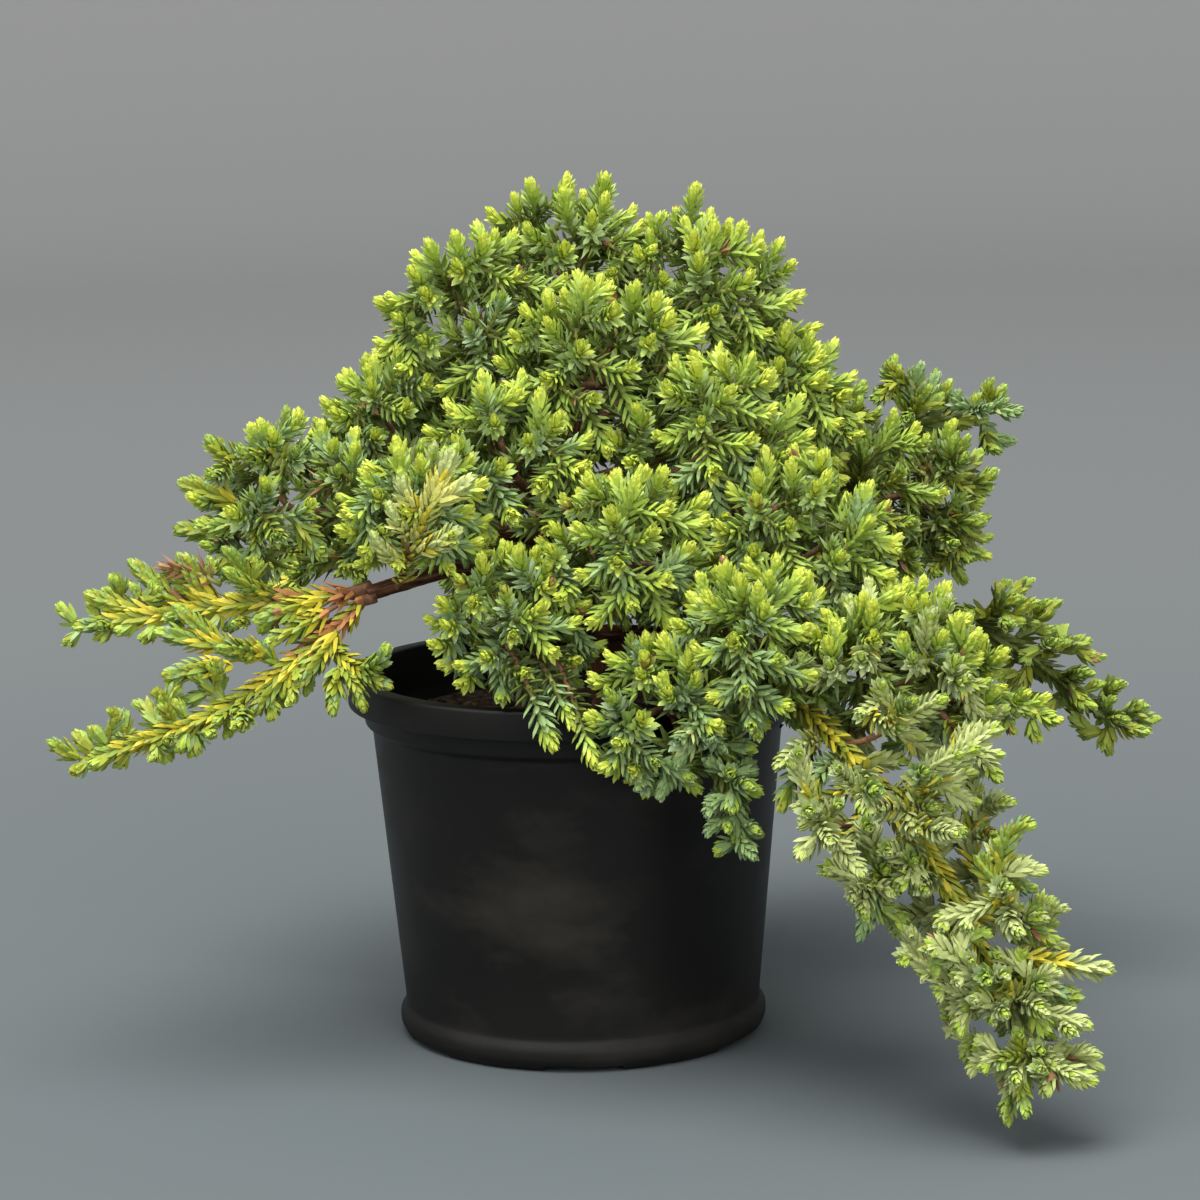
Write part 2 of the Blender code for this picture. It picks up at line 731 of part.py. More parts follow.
def turned_object(name, profile, sides, collection):
    """A profile turned round the Z axis with the Screw modifier."""
    mesh = bpy.data.meshes.new(name)
    verts = [(out * MM, 0.0, height * MM) for out, height in profile]
    mesh.from_pydata(verts, [(step, step + 1) for step in range(len(verts) - 1)], [])
    thing = bpy.data.objects.new(name, mesh)
    collection.objects.link(thing)
    screw = thing.modifiers.new("turn", "SCREW")
    screw.steps = sides
    screw.render_steps = sides
    screw.use_merge_vertices = True
    screw.merge_threshold = 0.00001
    return thing


def pot_object(cutters, collection):
    """The pot: a thin turned shell with notches and drains in its foot."""
    inside_foot = WALL_FOOT_RADIUS - POT_WALL
    skirt = POT_HEIGHT - RIM_DROP
    under_rim = POT_HEIGHT - POT_WALL - 0.3
    profile = [
        (0.0, POT_FLOOR),
        (inside_foot - 0.4, POT_FLOOR),
        (WALL_TOP_RADIUS - POT_WALL, WALL_TOP),
        (COLLAR_RADIUS - POT_WALL, COLLAR_FOOT + 0.5),
        (RIM_INSIDE, POT_HEIGHT - 0.6),
        (RIM_INSIDE + 0.8, POT_HEIGHT),
        (RIM_RADIUS - 0.75, POT_HEIGHT),
        (RIM_RADIUS, POT_HEIGHT - 0.8),
        (RIM_RADIUS - 0.5, skirt),
        (RIM_RADIUS - 0.5 - POT_WALL, skirt),
        (RIM_RADIUS - POT_WALL, under_rim),
        (COLLAR_RADIUS + 1.0, under_rim),
        (COLLAR_RADIUS, COLLAR_FOOT),
        (WALL_TOP_RADIUS, WALL_TOP),
        (WALL_FOOT_RADIUS, WALL_FOOT),
        (WALL_FOOT_RADIUS, WALL_FOOT - 1.2),
        (BULGE_RADIUS, BULGE_HEIGHT),
        (BULGE_RADIUS, BULGE_HEIGHT * 0.5),
        (FOOT_RADIUS + 0.8, 0.6),
        (FOOT_RADIUS, 0.0),
        (0.0, 0.0),
    ]
    pot = turned_object("pot", profile, POT_SIDES, collection)
    for number in range(NOTCH_COUNT):
        turn = 2 * math.pi * (number + 0.5) / NOTCH_COUNT
        notch_cutter(pot, turn, cutters)
        drain_cutter(pot, turn, cutters)
    return pot


def cut(body, cutter, cutters):
    """Hides a cutter among the cutters and cuts the body with it."""
    for collection in list(cutter.users_collection):
        collection.objects.unlink(cutter)
    cutters.objects.link(cutter)
    cutter.hide_render = True
    cutter.display_type = "WIRE"
    difference = body.modifiers.new("cut", "BOOLEAN")
    difference.operation = "DIFFERENCE"
    difference.solver = "EXACT"
    difference.object = cutter


def notch_cutter(pot, turn, cutters):
    """A shallow radial slot across the foot ring, to let water out."""
    length = BULGE_RADIUS + 4 - NOTCH_INSIDE
    middle = NOTCH_INSIDE + length / 2
    bpy.ops.mesh.primitive_cube_add(size=1)
    box = bpy.context.object
    box.name = "notch_cutter"
    box.scale = (length * MM, NOTCH_WIDTH * MM, 2 * NOTCH_HEIGHT * MM)
    box.rotation_euler = (0, 0, turn)
    box.location = (middle * math.cos(turn) * MM, middle * math.sin(turn) * MM, 0)
    cut(pot, box, cutters)


def drain_cutter(pot, turn, cutters):
    """A round drain through the floor, inside a notch."""
    place = (DRAIN_FROM_AXIS * math.cos(turn) * MM, DRAIN_FROM_AXIS * math.sin(turn) * MM, 0)
    bpy.ops.mesh.primitive_cylinder_add(vertices=10, radius=DRAIN_RADIUS * MM,
                                        depth=4 * POT_FLOOR * MM, location=place)
    drain = bpy.context.object
    drain.name = "drain_cutter"
    cut(pot, drain, cutters)


def soil_object(collection):
    """The potting mix that fills the pot, GAP clear of its wall."""
    slack = GAP + 0.3
    profile = [
        (0.0, SOIL_TOP),
        (SOIL_FLAT_RADIUS, SOIL_TOP),
        (between(SOIL_FLAT_RADIUS, WALL_TOP_RADIUS, 0.55), SOIL_TOP - 0.7),
        (WALL_TOP_RADIUS - POT_WALL - slack - 2.2, SOIL_EDGE_TOP + 1.0),
        (WALL_TOP_RADIUS - POT_WALL - slack - 0.2, SOIL_EDGE_TOP),
        (WALL_FOOT_RADIUS - POT_WALL - 0.4 - slack, POT_FLOOR + GAP),
        (0.0, POT_FLOOR + GAP),
    ]
    return turned_object("potting_mix", profile, SOIL_SIDES, collection)


def material(name, colour, roughness):
    """A plain finish in the part's colour."""
    finish = bpy.data.materials.new(name)
    finish.use_nodes = True
    shader = finish.node_tree.nodes["Principled BSDF"]
    shader.inputs["Base Color"].default_value = (*colour, 1.0)
    shader.inputs["Roughness"].default_value = roughness
    shader.inputs["Metallic"].default_value = 0.0
    return finish


def main():
    """Builds the plant and its pot."""
    for thing in list(bpy.data.objects):
        bpy.data.objects.remove(thing, do_unlink=True)
    collection = bpy.data.collections.new("potted_juniper")
    helpers = bpy.data.collections.new("twigs_to_join")
    cutters = bpy.data.collections.new("cutters")
    for group in (collection, helpers, cutters):
        bpy.context.scene.collection.children.link(group)

    limbs = {"trunk": trunk_limb()}
    for name, sizes in BOUGHS.items():
        limbs[name] = bough_limb(limbs["trunk"], *sizes)
    masses = [cushion_mass(name, seed) for seed, name in enumerate(CUSHIONS, 1)]
    masses += [spray_mass(name, seed) for seed, name in enumerate(SPRAYS, len(masses) + 1)]
    space = Space(masses, limbs)
    for mass in masses:
        mates = [other for other in masses if other is not mass and other.limb == mass.limb
                 and other.leaves_at is None]
        path = stem_path(mass, limbs[mass.limb], mates)
        space.stems[mass.name] = Limb(path, np.full(len(path), STEM_RADIUS))

    bark = material("bark", (0.20, 0.09, 0.045), 0.85)
    needles = material("needles", (0.16, 0.30, 0.06), 0.5)
    plastic = material("pot_plastic", (0.012, 0.012, 0.013), 0.4)
    mix = material("potting_mix", (0.035, 0.022, 0.014), 0.95)

    pot_object(cutters, collection).data.materials.append(plastic)
    soil_object(collection).data.materials.append(mix)
    for name, limb in limbs.items():
        sides = TRUNK_SIDES if name == "trunk" else BOUGH_SIDES
        limb_object(name, limb, sides, collection).data.materials.append(bark)
    for mass in masses:
        thing, tips = mass_object(mass, space, helpers, collection)
        thing.data.materials.clear()
        thing.data.materials.append(needles)
        print(f"{mass.name}: {tips} shoots, {len(thing.data.polygons)} triangles")
    print("triangles in the masses:", sum(len(bpy.data.objects[m.name].data.polygons) for m in masses))


main()
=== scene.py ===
# %% [markdown]
# # A dwarf juniper in a nursery pot
#
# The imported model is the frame: it has a turned pot, a trunk with boughs, and
# a coarse solid for each mass of foliage. This script keeps every place and
# size of that frame and grows the real looks round it: bark, twigs and tens of
# thousands of needles. Lengths in the growing rule are millimetres, and a
# mesh is made in metres.

# %% Load the frame
import json
import math

import bmesh
import bpy
import numpy as np
from mathutils import Matrix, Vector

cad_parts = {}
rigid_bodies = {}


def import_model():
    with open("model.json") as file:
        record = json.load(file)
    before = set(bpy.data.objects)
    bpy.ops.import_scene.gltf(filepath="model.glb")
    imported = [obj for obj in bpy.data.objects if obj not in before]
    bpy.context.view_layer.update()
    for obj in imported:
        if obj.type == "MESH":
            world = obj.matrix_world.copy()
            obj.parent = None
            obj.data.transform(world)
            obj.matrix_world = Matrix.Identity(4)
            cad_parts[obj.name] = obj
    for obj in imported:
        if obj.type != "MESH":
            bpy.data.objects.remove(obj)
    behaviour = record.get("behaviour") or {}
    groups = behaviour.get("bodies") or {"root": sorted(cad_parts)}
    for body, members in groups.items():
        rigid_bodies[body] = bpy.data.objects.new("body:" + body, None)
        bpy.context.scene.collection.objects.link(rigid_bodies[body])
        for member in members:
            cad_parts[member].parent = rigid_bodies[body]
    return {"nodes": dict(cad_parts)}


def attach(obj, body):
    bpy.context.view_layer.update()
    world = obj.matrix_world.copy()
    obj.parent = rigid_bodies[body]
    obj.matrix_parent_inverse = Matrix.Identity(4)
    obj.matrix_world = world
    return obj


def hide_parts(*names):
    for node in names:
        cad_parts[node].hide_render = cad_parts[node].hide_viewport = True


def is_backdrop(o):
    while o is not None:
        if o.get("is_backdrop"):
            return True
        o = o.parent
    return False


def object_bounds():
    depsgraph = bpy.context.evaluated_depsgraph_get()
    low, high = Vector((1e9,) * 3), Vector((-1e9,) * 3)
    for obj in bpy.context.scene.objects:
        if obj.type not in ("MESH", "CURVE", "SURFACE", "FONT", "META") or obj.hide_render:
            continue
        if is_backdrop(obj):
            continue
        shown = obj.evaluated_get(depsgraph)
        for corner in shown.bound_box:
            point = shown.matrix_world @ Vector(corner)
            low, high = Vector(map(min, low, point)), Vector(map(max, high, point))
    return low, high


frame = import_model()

CAD_BOX = [list(corner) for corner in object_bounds()]
MM = 0.001
print("nodes in the frame:", len(frame["nodes"]))

# %% [markdown]
# ## Nodes written as Python
#
# Shaders and Geometry Nodes are both trees of nodes. Setting them up link by
# link is long and hard to read, so one small class wraps a socket. Adding or
# multiplying two wrapped sockets adds the Math node that does it, and one
# method adds any other node from its type, its settings and its inputs.

# %% A socket that can be added and multiplied
class Port:
    """An output socket of a tree, with arithmetic."""

    def __init__(self, tree, socket):
        self.tree = tree
        self.socket = socket

    def maths(self, operation, first, second):
        return self.tree.add("ShaderNodeMath", {"operation": operation}, {0: first, 1: second}).out()

    def __add__(self, other):
        return self.maths("ADD", self, other)

    def __radd__(self, other):
        return self.maths("ADD", other, self)

    def __sub__(self, other):
        return self.maths("SUBTRACT", self, other)

    def __rsub__(self, other):
        return self.maths("SUBTRACT", other, self)

    def __mul__(self, other):
        return self.maths("MULTIPLY", self, other)

    def __rmul__(self, other):
        return self.maths("MULTIPLY", other, self)


class Step:
    """A node that has been added, with its outputs by name."""

    def __init__(self, tree, node):
        self.tree = tree
        self.node = node

    def out(self, name=None):
        """An output socket: the one of that name, or the first in use."""
        for socket in self.node.outputs:
            if socket.enabled and name in (None, socket.name):
                return Port(self.tree, socket)
        raise KeyError(name)


class Tree:
    """A node tree that is being written."""

    def __init__(self, nodes):
        self.tree = nodes

    def add(self, kind, settings, inputs):
        """Adds a node: settings first, then the values or links of its inputs."""
        node = self.tree.nodes.new(kind)
        for key, value in settings.items():
            if key == "stops":
                for stop, (place, colour) in zip(self.ramp_stops(node, len(value)), value):
                    stop.position = place
                    stop.color = (*colour, 1.0)
            else:
                setattr(node, key, value)
        for key, value in inputs.items():
            self.plug(node, key, value)
        return Step(self, node)

    def ramp_stops(self, node, count):
        """The stops of a colour ramp, as many as are asked for."""
        stops = node.color_ramp.elements
        while len(stops) < count:
            stops.new(0.5)
        return stops

    def plug(self, node, key, value):
        """Links or sets one input, by its name or its number among those in use."""
        used = [socket for socket in node.inputs if socket.enabled]
        socket = used[key] if isinstance(key, int) else next(s for s in used if s.name == key)
        if isinstance(value, Step):
            value = value.out()
        if isinstance(value, Port):
            self.tree.links.new(value.socket, socket)
        else:
            socket.default_value = value

    def blend(self, share, first, second, way="MIX"):
        """A colour between two colours."""
        return self.add("ShaderNodeMix", {"data_type": "RGBA", "blend_type": way},
                        {0: share, 1: first, 2: second}).out()

    def vector(self, operation, first, second):
        """Two vectors added, multiplied and so on."""
        return self.add("ShaderNodeVectorMath", {"operation": operation}, {0: first, 1: second}).out()


# %% A geometry tree and a finish
class Maker(Tree):
    """A Geometry Nodes tree with named inputs."""

    def __init__(self, name, inputs):
        group = bpy.data.node_groups.new(name, "GeometryNodeTree")
        super().__init__(group)
        face = group.interface
        face.new_socket("Geometry", in_out="INPUT", socket_type="NodeSocketGeometry")
        face.new_socket("Geometry", in_out="OUTPUT", socket_type="NodeSocketGeometry")
        kinds = {int: "NodeSocketInt", float: "NodeSocketFloat"}
        self.named = {}
        for label, value in inputs.items():
            socket = face.new_socket(label, in_out="INPUT", socket_type=kinds[type(value)])
            socket.default_value = value
            self.named[label] = socket.identifier
        self.start = Step(self, group.nodes.new("NodeGroupInput"))
        self.end = group.nodes.new("NodeGroupOutput")

    def given(self, label="Geometry"):
        return self.start.out(label)

    def attribute(self, name, kind="FLOAT"):
        return self.add("GeometryNodeInputNamedAttribute", {"data_type": kind}, {"Name": name}).out("Attribute")

    def finish(self, geometry):
        self.tree.links.new(geometry.socket, self.end.inputs[0])


def made_by(tree, name, source, values=None):
    """The plain mesh object that a tree makes from a source object."""
    modifier = source.modifiers.new("made", "NODES")
    modifier.node_group = tree.tree
    for label, value in (values or {}).items():
        modifier[tree.named[label]] = value
    graph = bpy.context.evaluated_depsgraph_get()
    graph.update()
    mesh = bpy.data.meshes.new_from_object(source.evaluated_get(graph), depsgraph=graph)
    bpy.data.objects.remove(source, do_unlink=True)
    mesh.name = name
    return linked(name, mesh)


def linked(name, mesh):
    thing = bpy.data.objects.new(name, mesh)
    bpy.context.scene.collection.objects.link(thing)
    return thing


class Finish(Tree):
    """A material whose shader is being written."""

    def __init__(self, name, **values):
        self.material = bpy.data.materials.new(name)
        self.material.use_nodes = True
        super().__init__(self.material.node_tree)
        self.shader = self.tree.nodes["Principled BSDF"]
        for label, value in values.items():
            label = label.replace("_", " ")
            self.shader.inputs[label].default_value = (*value, 1.0) if isinstance(value, tuple) else value
        self.material.diffuse_color = self.shader.inputs["Base Color"].default_value

    def set(self, label, value):
        self.plug(self.shader, label, value)

    def place(self, scale=1.0, stretch=(1.0, 1.0, 1.0)):
        """Object coordinates, in metres times a scale."""
        here = self.add("ShaderNodeTexCoord", {}, {}).out("Object")
        return self.add("ShaderNodeMapping", {}, {"Vector": here, "Scale": [scale * s for s in stretch]}).out()

    def noise(self, place, scale, detail=3.0, rough=0.55):
        return self.add("ShaderNodeTexNoise", {}, {"Vector": place, "Scale": scale, "Detail": detail,
                                                   "Roughness": rough}).out("Fac")

    def ramp(self, share, stops):
        return self.add("ShaderNodeValToRGB", {"stops": stops}, {"Fac": share}).out("Color")

    def bump(self, height, strength, distance):
        return self.add("ShaderNodeBump", {}, {"Strength": strength, "Distance": distance, "Height": height}).out()


print("helpers ready")

# %% [markdown]
# ## The camera, the floor and the light
#
# The camera was fitted to the ellipses of the pot's rim and foot: a long lens,
# almost a metre away, that looks down about ten degrees and leans one degree.
# The place of each mass of foliage was worked out through it. The floor is
# one pale sheet, and the light comes from large soft panels, as the needles
# in the photo have bright tips but no hard shadows.

# %% Camera
LENS_FOCAL = 117.0
CAMERA_PLACE = (6.2, -950.0, 270.0)
CAMERA_DOWN = math.radians(9.7)
CAMERA_ROLL = math.radians(-1.14)


def camera_matrix():
    right = np.array([1.0, 0.0, 0.0])
    up = np.array([0.0, math.sin(CAMERA_DOWN), math.cos(CAMERA_DOWN)])
    ahead = np.array([0.0, math.cos(CAMERA_DOWN), -math.sin(CAMERA_DOWN)])
    turned_right = math.cos(CAMERA_ROLL) * right + math.sin(CAMERA_ROLL) * up
    turned_up = math.cos(CAMERA_ROLL) * up - math.sin(CAMERA_ROLL) * right
    matrix = Matrix.Identity(4)
    for column, axis in enumerate((turned_right, turned_up, -ahead, np.array(CAMERA_PLACE) * MM)):
        for row in range(3):
            matrix[row][column] = float(axis[row])
    return matrix


camera = bpy.data.objects.new("camera", bpy.data.cameras.new("camera"))
bpy.context.scene.collection.objects.link(camera)
camera.data.sensor_width = 36.0
camera.data.lens = LENS_FOCAL
camera.data.clip_start = 0.01
camera.matrix_world = camera_matrix()
bpy.context.scene.camera = camera
print("lens", LENS_FOCAL, "mm")

# %% Floor and light
FLOOR_RADIUS = 2.1
SWEEP_RADIUS = 1.0
WALL_HEIGHT = 2.6
ROUND_STEPS = 72


def studio_floor():
    """A pale round floor that sweeps up into a low wall on all sides, with painted shade that makes it darker and
    bluer towards the middle.
    """
    profile = [(0.0, 0.0), (FLOOR_RADIUS, 0.0)]
    for step in range(1, 13):
        turn = math.radians(90 * step / 12)
        profile.append((FLOOR_RADIUS + SWEEP_RADIUS * math.sin(turn), SWEEP_RADIUS * (1 - math.cos(turn))))
    profile.append((FLOOR_RADIUS + SWEEP_RADIUS, WALL_HEIGHT))
    mesh = bpy.data.meshes.new("floor")
    mesh.from_pydata([(out, 0.0, up) for out, up in profile], [(k, k + 1) for k in range(len(profile) - 1)], [])
    bm = bmesh.new()
    bm.from_mesh(mesh)
    bmesh.ops.spin(bm, geom=bm.verts[:] + bm.edges[:], cent=(0, 0, 0), axis=(0, 0, 1),
                   angle=2 * math.pi, steps=ROUND_STEPS)
    bmesh.ops.remove_doubles(bm, verts=bm.verts, dist=0.0001)
    bm.to_mesh(mesh)
    bm.free()
    mesh.shade_smooth()
    floor = linked("floor", mesh)
    finish = Finish("pale_floor", Base_Color=(0.22, 0.225, 0.23), Roughness=0.8, Specular_IOR_Level=0.1)
    # Painted shade: the colour is darker and bluer towards the middle, round the pot, and pale further out.
    out = finish.add("ShaderNodeVectorMath", {"operation": "LENGTH"}, {"Vector": finish.place()}).out()
    finish.set("Base Color", finish.ramp(out * 0.3, [(0.03, (0.098, 0.114, 0.120)), (0.20, (0.140, 0.150, 0.153)), (0.85, (0.262, 0.262, 0.262))]))
    mesh.materials.append(finish.material)
    floor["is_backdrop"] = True
    return floor


def panel(name, place, aim, wide, tall, power, colour=(1.0, 1.0, 1.0)):
    """A soft light panel that faces a point."""
    light = bpy.data.lights.new(name, "AREA")
    light.shape = "RECTANGLE"
    light.size = wide
    light.size_y = tall
    light.energy = power
    light.color = colour
    thing = bpy.data.objects.new(name, light)
    bpy.context.scene.collection.objects.link(thing)
    back = Matrix.Translation(place).to_translation() - Matrix.Translation(aim).to_translation()
    thing.matrix_world = Matrix.Translation(place) @ back.to_track_quat("Z", "Y").to_matrix().to_4x4()
    return thing


studio_floor()
panel("sky_panel", (-0.3, -0.5, 2.6), (0.0, 0.0, 0.1), 2.0, 2.0, 118.0, (1.0, 0.985, 0.95))
panel("left_panel", (-1.9, -1.7, 1.4), (0.0, 0.0, 0.1), 2.2, 1.8, 27.0)
panel("right_panel", (1.0, -2.4, 0.9), (0.0, 0.0, 0.1), 1.3, 1.8, 35.0)
world = bpy.data.worlds.new("studio")
bpy.context.scene.world = world
world.use_nodes = True
world.node_tree.nodes["Background"].inputs["Color"].default_value = (0.92, 0.96, 1.0, 1.0)
world.node_tree.nodes["Background"].inputs["Strength"].default_value = 0.85
bpy.context.scene.view_settings.view_transform = "Standard"
bpy.context.scene.cycles.max_bounces = 3
bpy.context.scene.cycles.diffuse_bounces = 2
bpy.context.scene.cycles.glossy_bounces = 1
print("stage ready")

# %% [markdown]
# ## The growing rule
#
# A plant isn't placed needle by needle. The trunk and the boughs are a few
# named limbs. Each mass of foliage has a space of its own, a ball or a row of
# balls, and a stem into it. Shoot tips are spread over that space in an order
# that fills in evenly, and each tip takes its twig from the nearest place
# that a shoot could reach. This is the rule that made the frame's solids, with
# the same sizes, now carried to many more and finer shoots.

# %% The named limbs and masses
GAP = 0.3
POT_HEIGHT = 91.0
RIM_RADIUS = 57.15
RIM_DROP = 7.5
RIM_INSIDE = 52.0
COLLAR_RADIUS = 52.6
COLLAR_FOOT = 79.0
WALL_TOP = 77.5
WALL_TOP_RADIUS = 50.8
WALL_FOOT = 8.6
WALL_FOOT_RADIUS = 44.3
BULGE_RADIUS = 45.8
BULGE_HEIGHT = 5.5
FOOT_RADIUS = 43.8
POT_WALL = 1.3
POT_FLOOR = 3.0
SOIL_TOP = 80.0
SOIL_FLAT_RADIUS = 16.0
SOIL_EDGE_TOP = 76.8

TRUNK_FOOT = (8.6, -3.0)
TRUNK_LEAN = (1.5, -2.0, 106.0)
TRUNK_BEND = (-5.0, 0.5, 128.0)
TRUNK_TIP = (2.0, 11.0, 156.0)
TRUNK_FLARE = 5.4
TRUNK_FLARE_HEIGHT = 5.0
TRUNK_RADIUS = 3.9
TRUNK_TIP_RADIUS = 1.9
TRUNK_POINTS = 12

BOUGH_POINTS = 6
BOUGHS = {
    "bough_left": (113.0, (-25, -13, 119), (-50, -22, 114), 2.2, 1.9),
    "bough_left_upper": (122.0, (-20, -8, 127), (-36, -13, 129), 2.0, 1.6),
    "bough_front_left": (102.0, (-1, -17, 106), (-7, -29, 107), 1.9, 1.5),
    "bough_front": (107.0, (8, -14, 112), (12, -24, 115), 2.0, 1.6),
    "bough_front_low": (90.0, (15, -24, 96), (20, -42, 95), 1.9, 1.5),
    "bough_front_right": (116.0, (20, -10, 121), (38, -22, 121), 2.0, 1.6),
    "bough_right_low": (95.0, (34, -14, 100), (61, -33, 99), 2.0, 1.7),
    "bough_right_front": (100.0, (25, -28, 103), (43, -46, 99), 2.2, 1.9),
    "bough_right": (120.0, (28, 13, 127), (58, 30, 124), 2.1, 1.7),
    "bough_right_back": (105.5, (36, 18, 108), (70, 37, 107), 2.0, 1.6),
    "bough_back_right_upper": (126.5, (24, 34, 134), (40, 50, 138), 1.9, 1.5),
    "bough_back_upper": (132.0, (2, 36, 139), (6, 54, 141), 1.9, 1.5),
    "bough_back_left_upper": (125.0, (-16, 26, 132), (-28, 42, 136), 1.9, 1.5),
    "bough_back_right": (109.0, (26, 34, 112), (46, 60, 110), 2.0, 1.6),
    "bough_back": (98.5, (4, 34, 107), (-2, 56, 106), 2.0, 1.6),
    "bough_back_left": (111.0, (-18, 28, 115), (-34, 46, 115), 1.8, 1.4),
}

CUSHIONS = {
    "crown_front": ((8, 2, 161), 25.5, "trunk", None),
    "crown_left": ((-23, 24, 172), 24.5, "trunk", 145.0),
    "crown_back": ((1, 40, 180), 27.0, "trunk", 151.0),
    "crown_right": ((33, 32, 173), 26.5, "trunk", 144.0),
    "dome_left": ((-42, 20, 145), 22.5, "trunk", 137.0),
    "dome_right": ((50, 24, 150), 22.0, "trunk", 135.0),
    "dome_front_left": ((-14, -14, 141), 22.5, "trunk", 131.0),
    "dome_front_right": ((33, -13, 146), 24.0, "trunk", 126.0),
    "dome_back": ((8, 72, 144), 27.0, "bough_back_upper", None),
    "dome_back_left": ((-38, 58, 140), 25.0, "bough_back_left_upper", None),
    "dome_back_right": ((47, 66, 141), 25.0, "bough_back_right_upper", None),
    "front_centre": ((14, -40, 123), 21.5, "bough_front", None),
    "front_right": ((54, -33, 122), 24.0, "bough_front_right", None),
    "front_left": ((-14, -43, 108), 18.5, "bough_front_left", None),
    "front_low": ((22, -61, 91), 19.0, "bough_front_low", None),
    "front_mid": ((43, -61, 105), 20.0, "bough_right_front", None),
    "right_front": ((74, -61, 96), 24.5, "bough_right_low", None),
    "left_middle": ((-69, -6, 133), 22.5, "bough_left_upper", None),
    "left_near": ((-37, -31, 133), 17.5, "bough_left_upper", None),
    "right_back": ((83, 42, 126), 23.5, "bough_right", None),
    "back_low_left": ((-17, 81, 109), 22.0, "bough_back", None),
    "back_low_right": ((33, 84, 108), 24.0, "bough_back_right", None),
}

SPRAYS = {
    "spray_left_low": ((-56, -26, 108), (-83, -37, 90), (-115, -48, 80), 18.0, 55, "bough_left"),
    "spray_left_high": ((-59, -24, 114), (-90, -22, 111), (-119, -20, 107), 16.0, 50, "bough_left"),
    "spray_droop": ((62, -74, 84), (84, -90, 55), (100, -104, 23), 31.0, -45, "bough_right_front"),
    "spray_hang": ((28, -61, 92), (34, -69, 79), (37, -71, 65), 14.0, 20, "bough_front_low"),
    "spray_right_small": ((76, -34, 97), (90, -38, 92), (108, -40, 86), 14.0, 40, "bough_right_low"),
    "spray_right_high": ((73, 48, 138), (91, 57, 143), (106, 62, 143), 20.0, 60, "bough_right"),
    "spray_right_low": ((84, 42, 101), (110, 44, 88), (138, 46, 66), 20.0, 55, "bough_right_back"),
    "spray_back_right": ((58, 74, 106), (76, 95, 98), (93, 114, 80), 20.0, 10, "bough_back_right"),
    "spray_back": ((-4, 70, 102), (-8, 98, 95), (-13, 123, 77), 20.0, -10, "bough_back"),
    "spray_back_left": ((-44, 54, 115), (-62, 64, 110), (-84, 70, 98), 15.0, 10, "bough_back_left"),
}
print(len(BOUGHS), "boughs,", len(CUSHIONS), "rounded masses,", len(SPRAYS), "sprays")

# %% Paths
UP = np.array([0.0, 0.0, 1.0])
GOLDEN = 0.6180339887
PLASTIC = 1.3247179572


def chance(seed, step):
    """A repeatable number from 0 to 1."""
    return math.modf(abs(math.sin(seed * 12.9898 + step * 78.233)) * 43758.5453)[0]


def unit(vector):
    return vector / np.linalg.norm(vector)


def between(low, high, share):
    return low + (high - low) * share


def through(places, count):
    """A smooth path of count points that passes the given places."""
    places = np.array(places, float)
    ends = np.vstack([2 * places[0] - places[1], places, 2 * places[-1] - places[-2]])
    path = []
    for share in np.linspace(0, len(places) - 1, count):
        span = min(int(share), len(places) - 2)
        t = share - span
        a, b, c, d = ends[span:span + 4]
        path.append(0.5 * (2 * b + (c - a) * t + (2 * a - 5 * b + 4 * c - d) * t * t
                           + (3 * b - a - 3 * c + d) * t ** 3))
    return np.array(path)


def bend(start, leaving, end, arriving, count):
    """A path that leaves and arrives in the given directions."""
    third = np.linalg.norm(end - start) / 3
    t = np.linspace(0, 1, count)[:, None]
    near = start + leaving * third
    far = end - arriving * third
    return ((1 - t) ** 3 * start + 3 * t * (1 - t) ** 2 * near
            + 3 * t * t * (1 - t) * far + t ** 3 * end)


def lengths(path):
    return np.concatenate([[0], np.cumsum(np.linalg.norm(np.diff(path, axis=0), axis=1))])


def sampled(path, marks):
    """The places and directions of a path at the given lengths along it."""
    along = lengths(path)
    ways = np.gradient(path, axis=0)
    places = np.stack([np.interp(marks, along, path[:, axis]) for axis in range(3)], axis=1)
    ways = np.stack([np.interp(marks, along, ways[:, axis]) for axis in range(3)], axis=1)
    return places, ways / np.linalg.norm(ways, axis=1)[:, None]


def evened(path, step=1.0):
    """The same path with points at even steps."""
    total = lengths(path)[-1]
    return sampled(path, np.linspace(0, total, max(3, int(total / step) + 1)))[0]


print("path tools ready")


# %% Limbs
class Limb:
    """A tapering limb: its path and its radius at each point."""

    def __init__(self, path, radii):
        self.path = path
        self.radii = radii

    def clearance(self, points):
        """How far each point is from the limb's surface."""
        start = self.path[:-1]
        run = np.diff(self.path, axis=0)
        offset = points[:, None, :] - start[None]
        share = np.clip((offset * run).sum(2) / (run * run).sum(1), 0, 1)
        nearest = np.linalg.norm(offset - share[..., None] * run, axis=2)
        radius = self.radii[:-1] + np.diff(self.radii) * share
        return (nearest - radius).min(axis=1)

    def at_height(self, height):
        rising = self.path[:, 2]
        return np.array([np.interp(height, rising, self.path[:, axis]) for axis in range(3)])


def clear_start(limb, origin, way, radius):
    """Where a limb of this radius starts, GAP clear of the one it leaves."""
    side = unit(np.cross(way, UP + 0.01))
    other = np.cross(way, side)
    turns = np.linspace(0, 2 * math.pi, 12, endpoint=False)[:, None]
    ring = radius * (np.cos(turns) * side + np.sin(turns) * other)
    distance = 0.0
    while limb.clearance(origin + way * distance + ring).min() < GAP:
        distance += 0.05
    return origin + way * distance


